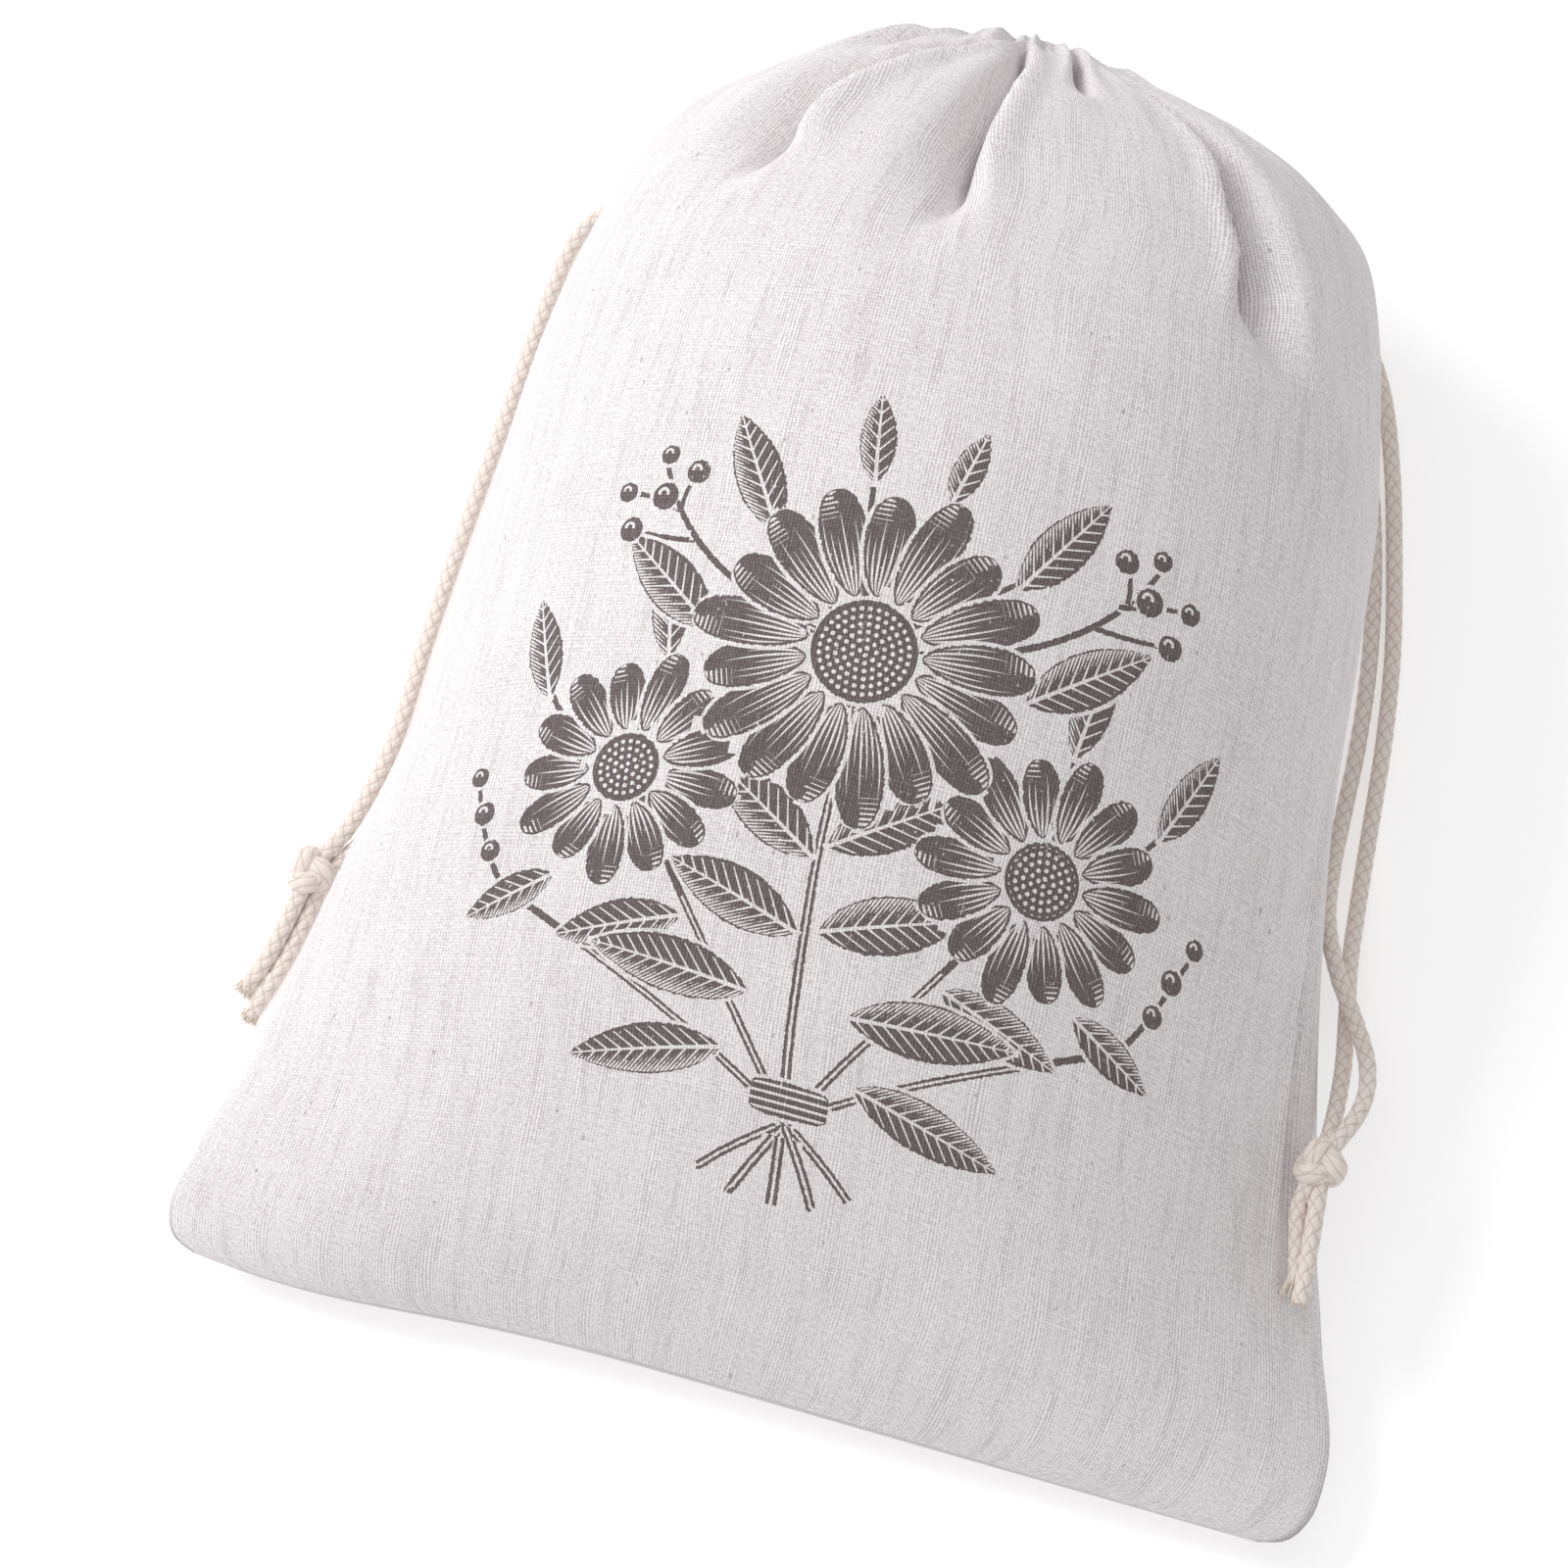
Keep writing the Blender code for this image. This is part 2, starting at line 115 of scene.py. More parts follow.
# bag
bag = {
    "flatWidth": 300.0, "cloth": 1.6,
    "seamAllowance": 6.0, "seamEaseStart": 60.0, "seamEase": 140.0, "seamClear": 14.0,
    "shoulderStart": 285.0, "shoulderEase": 60.0,
    "bottomSlant": 0.054, "slantReach": 210.0,
    "cornerSag": 5.5, "cornerSagX": -112.0, "cornerSagWidth": 48.0,
    "halfColumns": 172, "crowded": ((-84.0, 102.0), (124.0, 146.0)), "crowding": 0.8, "crowdEase": 8.0,
    "edgeRows": (0.0, 0.4, 0.9, 1.7, 2.8, 4.2, 5.9), "firstRow": 8.0,
    "rowSpacing": 2.5, "foldRowSpacing": 1.55, "foldZone": 130.0, "measureSteps": 1200,
    # the inner face has fewer rows, and keeps clear of the steep folds
    "innerStart": 10, "innerEvery": (3, 7), "innerClear": 3, "innerPush": 0.5,
    "ringX": -1.0, "ringZ": 52.0, "pleatsPerHalf": 8,
    "pleatSways": ((0.9, 0.041, 1.3), (0.5, 0.093, 0.0)), "pleatSwell": (0.25, 0.057, 2.0),
    "backPhase": 2.2, "pleatDepth": 1.9, "pleatReach": 17.0, "finePleat": (0.35, 2.7, 1.1),
    # the weave spreads over the folds: share, reach from the ring, ease
    "weaveSpread": (0.32, 150.0, 90.0), "backWeave": 400.0, "mouthWeaveStep": 3.0, "innerWeaveStep": 4.0,
    # y, half width, crown, base, seam height, front exponent, back exponent, middle x
    "stations": (
        (0, 137, 14.6, 10.6, 12.5, 1.5, 1.5, 0.2),
        (1.6, 142.3, 17.5, 8.6, 12.6, 1.6, 1.4, 0.5),
        (5, 145.6, 23, 5.5, 12.8, 1.7, 1.2, 1),
        (12, 147.5, 32, 0.5, 13.2, 1.8, 0.9, 2),
        (26, 146.2, 46.5, -5, 14, 1.8, 0.65, 3.6),
        (50, 139, 66, -9, 17, 1.75, 0.5, 3.6),
        (75, 133, 83, -11, 21, 1.6, 0.45, 2.5),
        (106, 126.6, 99, -12, 27, 1.4, 0.45, 2.2),
        (140, 119.3, 113, -12, 32, 1.18, 0.45, 3.3),
        (181, 113.9, 122, -12, 37, 1.02, 0.45, 3.6),
        (209, 112.8, 125, -12, 40, 0.98, 0.45, 3.4),
        (242, 111, 124, -10, 44, 0.97, 0.5, 3.1),
        (272, 106.4, 119.5, -7, 47.5, 0.98, 0.55, 2.5),
        (298, 100.2, 111.5, -1, 50, 1, 0.7, 2.8),
        (316, 92.3, 103, 6, 51.5, 1, 0.85, 3.6),
        (330, 77.6, 94.5, 12, 52, 1, 1, 3.4),
        (338.5, 61, 87.5, 16.5, 52, 1, 1, 2.2),
        (344.5, 44, 82.6, 20.8, 52, 1, 1, 0.4),
        (347.2, 33.5, 81, 22.4, 52, 1, 1, 0),
    ),
    # the pleats' depth is kept within limits at the mouth, and is less in the narrow part
    "mouthDepth": (-2.5, 4.5), "narrowMouth": 17, "narrowShare": 0.6, "mouthStep": 0.5,
    # y, radius, share of the pleats, as the casing turns into the hole
    "mouth": (
        (349, 28, 1), (349.8, 23.8, 1), (349.4, 19, 0.9), (347.4, 14.8, 0.8),
        (343.9, 12.4, 0.7), (336.4, 11.6, 0.6), (327.4, 12, 0.5), (323.4, 13.6, 0.4),
        (324, 15.6, 0.4), (329.4, 16.6, 0.4), (336.9, 17.6, 0.4), (341.9, 20.6, 0.6),
    ),
}

# Creases pressed into the cloth. Each row: mm from the ring along the cloth, mm across from the middle,
# depth, left width, right width, left lip, right lip, push of the sharp lip over the trough
creases = {
    "front": (
        ((0, -14, 1.5, 5, 4, 0, 0.3, 0), (14, -19, 3.6, 8, 4, 0.2, 1, 0.4),
         (24, -27, 8.4, 10, 3.6, 0.4, 1.9, 2), (40, -42, 13, 12, 3.6, 0.6, 2.4, 3.6),
         (57, -53, 15.5, 13, 3.6, 0.8, 2.8, 4.6), (73, -62, 17, 14, 3.8, 0.8, 2.8, 5.2),
         (84, -65, 16.4, 14, 4.6, 0.8, 2.4, 4.2), (93, -68, 10, 14, 7, 0.6, 1.2, 1.2),
         (103, -73, 2.8, 15, 10, 0.2, 0.3, 0), (116, -80, 0, 15, 12, 0, 0, 0)),
        ((0, 0, 3.4, 4, 3, 0, 0.4, 0), (18, 0, 9.5, 7, 3, 0, 1.6, 2.6),
         (38, -1, 15, 10, 3, 0.3, 2.4, 3.9), (58, -4, 18, 12, 3.2, 0.6, 2.8, 5.2),
         (72, -6, 18.5, 13, 3.4, 0.8, 2.8, 5.2), (88, -7, 15, 14, 3.8, 0.8, 2.2, 4.2),
         (103, -9, 8, 15, 6, 0.5, 1, 1.2), (116, -15, 1.8, 16, 9, 0.1, 0.3, 0),
         (130, -22, 0, 16, 10, 0, 0, 0)),
        ((0, 38, 2.4, 3.5, 3, 0.2, 0.4, 0), (10, 36, 6, 4.4, 2.8, 0.7, 1, 1.2),
         (26, 28, 6.6, 4.6, 2.8, 0.9, 1.1, 1.4), (40, 24, 4.2, 5, 3.6, 0.6, 0.7, 0.6),
         (54, 23, 0, 6, 6, 0, 0, 0)),
        ((0, 64, 1.6, 4, 4, 0.2, 0.2, 0), (16, 60, 1.8, 5, 5, 0.3, 0.3, 0),
         (38, 62, 5.4, 5, 8, 1, 0.4, -1.4), (54, 64, 11, 3.4, 9, 2, 0.8, -3.8),
         (66, 67, 15.5, 3, 10, 2.4, 1.2, -5), (80, 69, 17.5, 3.1, 11, 2.6, 2.6, -5.4),
         (94, 73, 16, 3.2, 11, 2.4, 3.8, -5.2), (108, 77, 10.5, 4.6, 9, 1.6, 4.2, -2.4),
         (118, 83, 3.6, 8, 8, 0.4, 2.8, 0), (130, 90, 0, 9, 9, 0, 0, 0)),
        ((0, -72, -0.4, 12, 12, 0, 0, 0), (14, -78, -3, 13, 13, 0, 0, 0),
         (34, -86, -1.8, 14, 14, 0, 0, 0), (60, -94, 0, 16, 16, 0, 0, 0)),
        ((18, -108, 0, 14, 14, 0, 0, 0), (44, -116, 3.2, 16, 16, 0, 0, 0),
         (84, -124, 0, 18, 18, 0, 0, 0)),
        ((0, 92, 1.6, 4, 4, 0.2, 0.2, 0), (12, 94, 3.6, 5, 4, 0.4, 0.6, 0),
         (28, 98, 3, 6, 5, 0.4, 0.5, 0), (60, 104, 0, 8, 8, 0, 0, 0)),
        ((0, -58, 1.4, 4, 4, 0.2, 0.2, 0), (10, -62, 2.4, 5, 4, 0.3, 0.5, 0),
         (26, -72, 1.8, 6, 5, 0.3, 0.4, 0), (46, -82, 0, 8, 8, 0, 0, 0)),
        ((200, 133, 0, 3, 4, 0, 0, 0), (222, 133, 1.8, 3, 4, 0.5, 0, 0),
         (250, 134.2, 3.8, 2.6, 5, 1.1, 0, -0.8), (285, 136, 4.6, 2.6, 5.5, 1.3, 0, -1.2),
         (305, 137.4, 3.6, 2.8, 5, 1, 0, -0.8), (335, 140, 0, 3, 4, 0, 0, 0)),
    ),
    "back": (
        ((0, -98, 3, 7, 7, 0.3, 0.3, 0), (20, -97, 6, 9, 7, 0.6, 0.8, 0.6), (62, -99, 0, 12, 12, 0, 0, 0)),
        ((0, -46, 3, 6, 6, 0.3, 0.3, 0), (22, -45, 7, 9, 6, 0.6, 1, 1), (54, -44, 0, 11, 9, 0, 0, 0)),
        ((0, 4, 3, 5, 5, 0.3, 0.3, 0), (16, 4, 5, 6, 8, 0.8, 0.6, -0.6), (42, 4, 0, 9, 10, 0, 0, 0)),
        ((0, 52, 3, 6, 6, 0.3, 0.3, 0), (24, 53, 7, 8, 9, 1, 0.6, -0.8), (66, 55, 0, 10, 12, 0, 0, 0)),
        ((0, 104, 3, 7, 7, 0.3, 0.3, 0), (18, 104, 5, 9, 9, 0.6, 0.6, 0), (50, 104, 0, 12, 11, 0, 0, 0)),
    ),
}

# Form of one crease: a gentle slope, a narrow cleft at its foot, and a roll beside each lip
creaseForm = {
    "slope": 0.60, "cleft": 0.46, "cleftWidth": 4.4, "push": 0.74, "pushPlace": 1.4, "pushWidth": 1.2,
    "leftRoll": 1.7, "leftRollWidth": 0.75, "rightRoll": 1.9, "rightRollWidth": 0.9, "rightRollMore": 1.0,
    # ripples start this far from the ring and lean along the bag, and swells end this far from its foot
    "rippleStart": 30, "rippleLean": 0.012, "swellEase": 40,
}

# Slow unevenness of the filled cloth: size in mm, waves across, waves along, start
swells = ((0.55, 0.021, 0.013, 0.4), (0.40, 0.037, -0.019, 2.1), (0.28, -0.052, 0.031, 4.0),
          (0.18, 0.083, 0.047, 1.2))
# Soft ripples that run down from the gathers: size in mm, waves across, start, reach
ripples = ((0.50, 0.19, 0.6, 120.0), (0.34, 0.31, 2.6, 95.0), (0.22, 0.52, 4.4, 70.0))


def columnShares():
    # columns stand closer where the cloth is creased
    at = np.linspace(0.0, 1.0, bag["measureSteps"] + 1)
    place = (at - 0.5) * bag["flatWidth"]
    crowd = np.ones(len(at))
    for low, high in bag["crowded"]:
        near = ease((place - low) / bag["crowdEase"]) * ease((high - place) / bag["crowdEase"])
        crowd += bag["crowding"] * near
    run = np.concatenate(([0.0], np.cumsum((crowd[1:] + crowd[:-1]) / 2)))
    return np.interp(np.linspace(0.0, 1.0, bag["halfColumns"] + 1), run / run[-1], at)


def columnPlaces():
    n = bag["halfColumns"]
    across = (columnShares() - 0.5) * bag["flatWidth"]
    place = np.concatenate((across[:-1], across[::-1][:-1]))
    front = np.concatenate((np.ones(n), np.zeros(n)))
    return place, front


def sectionRows():
    table = np.array(bag["stations"])
    length, run = runLength(table[:, [0, 1]]), runLength(table[:, [0, 2]])
    total = length[-1]
    low = np.arange(bag["firstRow"], total - bag["foldZone"], bag["rowSpacing"])
    high = np.linspace(total - bag["foldZone"], total, int(bag["foldZone"] / bag["foldRowSpacing"]) + 1)
    places = np.concatenate((bag["edgeRows"], low, high))
    rows = np.stack([curveThrough(length, table[:, k], places) for k in range(8)], axis=1)
    return rows, total - places, curveThrough(length, run, places)


def halfSection(row, sign, inset, allowance):
    half, crown, base, seam, front, back, middle = row[1:]
    angle = np.linspace(-math.pi / 2, math.pi / 2, 721)  # points every quarter of a degree
    x = middle + (half - allowance) * np.sin(angle)
    lift = np.cos(angle).clip(0.0)
    if sign > 0:
        z = seam + (crown - inset - seam) * lift ** front
    else:
        z = seam + (base + inset - seam) * lift ** back
    z = np.maximum(z, inset)
    run = runLength(np.stack((x, z), axis=1))
    wanted = run[-1] * columnShares()
    return np.interp(wanted, run, x), np.interp(wanted, run, z)


def smoothGrid(rows, inset):
    grid = []
    for row in rows:
        y = row[0]
        narrow = bag["seamAllowance"] * (1.0 - ease((y - bag["seamEaseStart"]) / bag["seamEase"]))
        allowance = narrow + bag["cloth"] if inset > 0.0 else 0.0
        topX, topZ = halfSection(row, 1, inset, allowance)
        lowX, lowZ = halfSection(row, -1, inset, allowance)
        x = np.concatenate((topX[:-1], lowX[::-1][:-1]))
        z = np.concatenate((topZ[:-1], lowZ[::-1][:-1]))
        fade = 1.0 - ease(y / bag["slantReach"])
        sag = bag["cornerSag"] * np.exp(-((x - bag["cornerSagX"]) / bag["cornerSagWidth"]) ** 2)
        shift = fade * (-bag["bottomSlant"] * x - sag)
        pulled = inset * ease((y - bag["shoulderStart"]) / bag["shoulderEase"])
        grid.append(np.stack((x + bag["ringX"], y + shift - pulled, z), axis=1))
    return np.array(grid)


def clearOfSeams(place):
    return ease((bag["flatWidth"] / 2 - np.abs(place)) / bag["seamClear"])


def pleatWave(place, front):
    turn = place / bag["flatWidth"] * 2.0 * math.pi * bag["pleatsPerHalf"]
    uneven = sum(size * np.sin(place * rate + phase) for size, rate, phase in bag["pleatSways"])
    size, rate, phase = bag["pleatSwell"]
    swell = 1.0 - size + size * np.sin(place * rate + phase * front)
    fineSize, fineRate, fineStart = bag["finePleat"]
    fine = fineSize * np.cos(turn * fineRate + fineStart + front)
    return (np.cos(turn + uneven + bag["backPhase"] * front) + fine) * swell * clearOfSeams(place)


def hump(offset, width):
    return np.exp(-(offset / width) ** 2)


def creaseFields(reachLeft):
    # depth along the surface's normal, and sideways push of the lips
    form = creaseForm
    columns, front = columnPlaces()
    depth = np.zeros((len(reachLeft), len(columns)))
    push = np.zeros_like(depth)
    for side in creases:
        onSide = front if side == "front" else 1.0 - front
        for rows in creases[side]:
            rows = np.array(rows, dtype=float)
            inside = (reachLeft >= rows[0, 0]) & (reachLeft <= rows[-1, 0])
            at = reachLeft[inside]
            middle, deep, left, right, leftLip, rightLip, over = [
                curveThrough(rows[:, 0], rows[:, k], at)[:, None] for k in range(1, 8)]
            offset = columns[None, :] - middle
            width = np.where(offset < 0.0, left, right)
            trough = (form["slope"] * hump(offset, width)
                      + form["cleft"] * hump(offset, np.minimum(width, form["cleftWidth"])))
            leftRoll = hump(offset + left * form["leftRoll"], left * form["leftRollWidth"])
            rightRoll = hump(offset - right * form["rightRoll"],
                             right * form["rightRollWidth"] + form["rightRollMore"])
            depth[inside] += onSide * (deep * trough - leftLip * leftRoll - rightLip * rightRoll)
            place, more = form["pushPlace"], form["pushWidth"]
            sharp = np.where(over > 0.0, hump(offset - right * place, right + more),
                             hump(offset + left * place, left + more))
            push[inside] -= onSide * form["push"] * over * sharp
    along = reachLeft[:, None]
    for size, across, start, reach in ripples:
        fade = ease(1.0 - along / reach) * ease(along / form["rippleStart"])
        turn = across * columns[None, :] + start + form["rippleLean"] * along + front[None, :]
        depth += size * fade * np.sin(turn)
    for size, across, down, start in swells:
        wave = np.sin(across * columns[None, :] + down * along + start)
        depth += size * wave * ease((along.max() - along) / form["swellEase"])
    near = ease(1.0 - reachLeft / bag["pleatReach"])
    calm = clearOfSeams(columns)
    return depth * calm + np.outer(near, pleatWave(columns, front) * bag["pleatDepth"]), push * calm


def bagSurface(rows, reachLeft, inset):
    grid = smoothGrid(rows, inset)
    along = np.gradient(grid, axis=0)
    across = np.roll(grid, -1, axis=1) - np.roll(grid, 1, axis=1)
    normal = np.cross(across, along)
    normal /= np.linalg.norm(normal, axis=2, keepdims=True).clip(1e-9)
    depth, push = creaseFields(reachLeft)
    if inset > 0.0:
        clear = bag["innerClear"]
        depth = np.max([np.roll(depth, k, axis=1) for k in range(-clear, clear + 1)], axis=0)
        push = push * bag["innerPush"]
    front = columnPlaces()[1]
    sideways = across / np.linalg.norm(across, axis=2, keepdims=True).clip(1e-9)
    sideways *= np.where(front > 0.5, 1.0, -1.0)[None, :, None]
    moved = grid - normal * depth[:, :, None] + sideways * push[:, :, None]
    moved[:, :, 2] = np.maximum(moved[:, :, 2], inset)
    return moved, depth


def mouthRows(ringDepth):
    place, front = columnPlaces()
    quarter = place / bag["flatWidth"] * math.pi
    up = np.where(front > 0.5, 1.0, -1.0)
    table = np.array(bag["mouth"])
    index = np.arange(len(table))
    at = np.arange(0.0, index[-1] + 0.01, bag["mouthStep"])
    rows = []
    for y, radius, share in zip(*[np.interp(at, index, table[:, k]) for k in range(3)]):
        limit = 1.0 if radius > bag["narrowMouth"] else bag["narrowShare"]
        reach = radius - share * limit * ringDepth.clip(*bag["mouthDepth"])
        x = bag["ringX"] + reach * np.sin(quarter)
        z = bag["ringZ"] + up * reach * np.cos(quarter)
        rows.append(np.stack((x, np.full(len(x), y), z), axis=1))
    return rows


def capFaces(start, flip):
    n = bag["halfColumns"]
    columns = 2 * n
    faces = []
    for i in range(n):
        corners = [start + (columns - i) % columns, start + columns - i - 1, start + i + 1, start + i]
        face = list(dict.fromkeys(corners))
        faces.append(face[::-1] if flip else face)
    return faces


def warpPlaces(rings, reachLeft):
    # across each ring the cloth's own width, spread evenly over the folds near the mouth
    n, wide = bag["halfColumns"], bag["flatWidth"]
    most, reach, fade = bag["weaveSpread"]
    flat = (columnShares() - 0.5) * wide
    table = np.zeros((len(rings), 2, n + 1))
    for j, ring in enumerate(rings):
        share = most * ease((reach - reachLeft[min(j, len(reachLeft) - 1)]) / fade)
        for half, line in enumerate((ring[:n + 1], np.concatenate((ring[n:], ring[:1]))[::-1])):
            run = runLength(line)
            table[j, half] = flat * (1.0 - share) + (run / run[-1] - 0.5) * wide * share
    return table


def buildBag():
    rows, reachLeft, run = sectionRows()
    outer, depth = bagSurface(rows, reachLeft, 0.0)
    close, wide = bag["innerEvery"]
    kept = []
    for i in range(bag["innerStart"], len(rows)):
        every = close if reachLeft[i] < bag["foldZone"] else wide
        if i % every == 0:
            kept.append(i)
    if kept[-1] != len(rows) - 1:
        kept.append(len(rows) - 1)
    inner = bagSurface(rows[kept], reachLeft[kept], bag["cloth"])[0]
    mouth = mouthRows(depth[-1])
    rings = list(outer) + mouth + list(inner[::-1])
    # cloth height of every ring, for the weave and the print
    heights = list(run) + [run[-1] + bag["mouthWeaveStep"] * (k + 1) for k in range(len(mouth))]
    heights += [heights[-1] + bag["innerWeaveStep"] * (k + 1) for k in range(len(kept))]
    n = bag["halfColumns"]
    columns = 2 * n
    faces = tubeFaces(len(rings), columns)
    body = len(faces)
    faces += capFaces(0, True) + capFaces((len(rings) - 1) * columns, False)
    obj = meshPiece("breadBag", toFrame(np.concatenate(rings)), faces)
    mesh = obj.data
    # the cloth's own flat metres as the UV map, front and back half side by side
    place = warpPlaces(rings, reachLeft)
    uv = np.zeros((len(mesh.loops), 2))
    loopVert = loopVertices(mesh)
    loopFace = np.repeat(np.arange(len(mesh.polygons)), [len(p.vertices) for p in mesh.polygons])
    ring, column = loopVert // columns, loopVert % columns
    faceColumn = np.where(loopFace < body, loopFace % columns, 0)
    onFront = faceColumn < n
    ahead = (column != faceColumn).astype(int)
    onRing = ring.clip(0, len(rings) - 1)
    u = np.where(onFront, place[onRing, 0, np.minimum(faceColumn + ahead, n)],
                 bag["backWeave"] - place[onRing, 1, (n - (faceColumn - n + ahead)).clip(0, n)])
    uv[:, 0] = u * mm
    uv[:, 1] = np.array(heights)[ring.clip(0, len(heights) - 1)] * mm
    setUv(mesh, "clothFlat", uv)
    outside = (ring < len(outer)) & (loopFace < body) & onFront
    return obj, uv / mm, loopFace, outside


bagObject, clothUv, loopFace, frontLoops = buildBag()
print("bag", len(bagObject.data.vertices), "points")


# block print
# Drawn in cloth millimetres around the print's middle, y towards the mouth
printed = {
    "middle": (1.0, 150.0), "scale": 1.07, "margin": 0.9, "reach": 3.2, "petalGap": 0.9,
    # how uneven the petals' lengths are, a step in shade from shape to shape, and "far" for no stem
    "petalSway": (0.09, 3.7), "shadeStep": 0.37, "far": 99.0, "stemPoints": 60, "stemReach": 8,
    # where each kind of shape is widest: powers of the way from its base and from its tip
    "round": (0.5, 0.5), "petal": (0.62, 0.42), "leaf": (0.8, 0.95), "binding": (0.12, 0.12),
    # centre x, y, petals, core radius, petal length, petal width, turn
    "blossoms": (
        (-3, 40, 17, 11.5, 25, 10.5, 0.10),
        (-50, 6, 13, 8, 17.5, 8.6, 0.35),
        (46, 2, 14, 8.5, 18.5, 8.4, 0.05),
    ),
    # base x, base y, angle in degrees, length, width
    "leaves": (
        (-3.6, -7, 146, 30, 12), (-0.8, -4, 34, 31, 12), (-3.6, -24.5, 160, 33, 13), (1, -23, 20, 33, 13),
        (-12, -40, 172, 38, 13), (11, -40, 6, 38, 13), (-16, -54, 193, 36, 12), (15, -55.5, -14, 36, 12),
        (-30, -26, 196, 30, 11), (30, -28, -18, 30, 11), (-62, -20, 208, 24, 9), (60, -24, -26, 24, 9),
        (-28, 64, 118, 30, 11), (26, 62, 58, 30, 11), (-38, 40, 140, 32, 12), (33, 38, 38, 32, 12),
        (-74, 22, 112, 26, 9), (70, 20, 66, 26, 9), (-9, 78, 98, 22, 8), (8, 77, 76, 19, 7),
        (-46, 32, 101, 26, 9), (46, 30, 82, 26, 9),
    ),
    # x, y, radius
    "berries": (
        (-56, 70, 3.2), (-49, 76, 2.8), (-63, 62, 2.9), (-66, 71, 2.4), (-57, 80, 2.3),
        (55, 69, 3.2), (48, 76, 2.8), (62, 61, 2.9), (65, 70, 2.4), (56, 79, 2.3),
        (-84, -6, 2.8), (-88, 3, 2.4), (-80, -15, 2.6), (82, -8, 2.8), (86, 1, 2.4), (79, -17, 2.6),
    ),
    # points of each stem, then its width at the foot and at the tip
    "stems": (
        (((1, -88), (0, -60), (-3, -20), (-3, 30)), 2.6, 1.8),
        (((10, -86), (0, -62), (-22, -36), (-46, 2)), 2.4, 1.5),
        (((-9, -87), (2, -62), (22, -38), (43, -2)), 2.4, 1.5),
        (((18, -82), (0, -63), (-40, -42), (-74, -24)), 2.2, 1.6),
        (((-17, -83), (1, -63), (40, -44), (72, -28)), 2.2, 1.6),
        (((-74, -24), (-80, -18), (-84, -8), (-88, 2)), 1.6, 1.1),
        (((72, -28), (78, -20), (82, -10), (86, 0)), 1.6, 1.1),
        (((-3, 40), (-36, 46), (-52, 62), (-58, 80)), 1.8, 1.1),
        (((-3, 40), (34, 44), (50, 62), (57, 79)), 1.8, 1.1),
        (((-50, 6), (-62, 10), (-70, 17), (-75, 25)), 1.8, 1.2),
        (((46, 2), (58, 7), (66, 14), (71.5, 23)), 1.8, 1.2),
        (((-3, 40), (-6, 54), (-8.6, 68), (-9.4, 81)), 1.8, 1.2),
        (((-3, 40), (2, 54), (6, 68), (8.8, 80)), 1.8, 1.2),
        (((-3, 40), (-14, 51), (-22, 57), (-29.4, 66.6)), 1.8, 1.2),
        (((-3, 40), (8, 50), (18, 57), (27.6, 64.6)), 1.8, 1.2),
        (((-50, 6), (-48.5, 16), (-46.6, 26), (-46.4, 34)), 1.8, 1.2),
        (((46, 2), (46.6, 12), (46.4, 22), (46.3, 33)), 1.8, 1.2),
        (((-45.6, 59.9), (-52, 59.6), (-58, 60.8), (-63, 62)), 1.3, 1),
        (((-51, 66.5), (-56, 69), (-61, 70.5), (-66, 71)), 1.3, 1),
        (((-51.5, 67), (-51.5, 70), (-50.5, 73), (-49, 76)), 1.3, 1),
        (((43.5, 59.1), (50, 58.8), (57, 60), (62, 61)), 1.3, 1),
        (((49, 65.6), (54, 67.5), (59, 69.5), (65, 70)), 1.3, 1),
        (((50, 66.5), (50.4, 70), (49.6, 73), (48, 76)), 1.3, 1),
    ),
    # where the stems are bound: centre x, y, half length, half height
    "band": (1, -62.5, 9, 4.2),
}


def printMotifs():
    # base, direction, length, half width, profile powers and kind, front to back
    motifs = []
    sway, rate = printed["petalSway"]
    for x, y, petals, core, long, wide, turn in printed["blossoms"]:
        motifs.append((x - core, y, 0.0, 2 * core, core, *printed["round"], 3.0))
        for k in range(petals):
            angle = turn + 2.0 * math.pi * k / petals
            reach = core + printed["petalGap"]
            size = long * (1.0 + sway * math.sin(rate * k + x))
            foot = (x + reach * math.cos(angle), y + reach * math.sin(angle))
            motifs.append((*foot, angle, size, wide / 2, *printed["petal"], 1.0))
    x, y, half, tall = printed["band"]
    motifs.append((x - half, y, 0.0, 2 * half, tall, *printed["binding"], 4.0))
    for x, y, radius in printed["berries"]:
        motifs.append((x - radius, y, 0.0, 2 * radius, radius, *printed["round"], 2.0))
    for x, y, angle, long, wide in printed["leaves"]:
        motifs.append((x, y, math.radians(angle), long, wide / 2, *printed["leaf"], 0.0))
    return motifs


def peakOf(p, s):
    return (p / (p + s)) ** p * (s / (p + s)) ** s


def localPlace(motif, q):
    x, y, angle, long, half = motif[:5]
    along = ((q[:, 0] - x) * math.cos(angle) + (q[:, 1] - y) * math.sin(angle)) / long
    across = (-(q[:, 0] - x) * math.sin(angle) + (q[:, 1] - y) * math.cos(angle)) / half
    return along, across


def stemPlace(q, line):
    # signed distance from a stem's middle line in mm, and share of the way along it
    best, signed, where = np.full(len(q), 1e9), np.full(len(q), printed["far"]), np.zeros(len(q))
    for k in range(len(line) - 1):
        side = line[k + 1] - line[k]
        u = ((q - line[k]) @ side) / (side @ side)
        inside = u.clip(0.0, 1.0)
        offset = q - line[k] - inside[:, None] * side
        away = np.hypot(offset[:, 0], offset[:, 1])
        turned = np.sign(side[0] * offset[:, 1] - side[1] * offset[:, 0])
        closer = away < best
        best[closer] = away[closer]
        signed[closer] = (away * np.where(turned == 0.0, 1.0, turned))[closer]
        where[closer] = ((k + inside) / (len(line) - 1))[closer]
    return signed, where


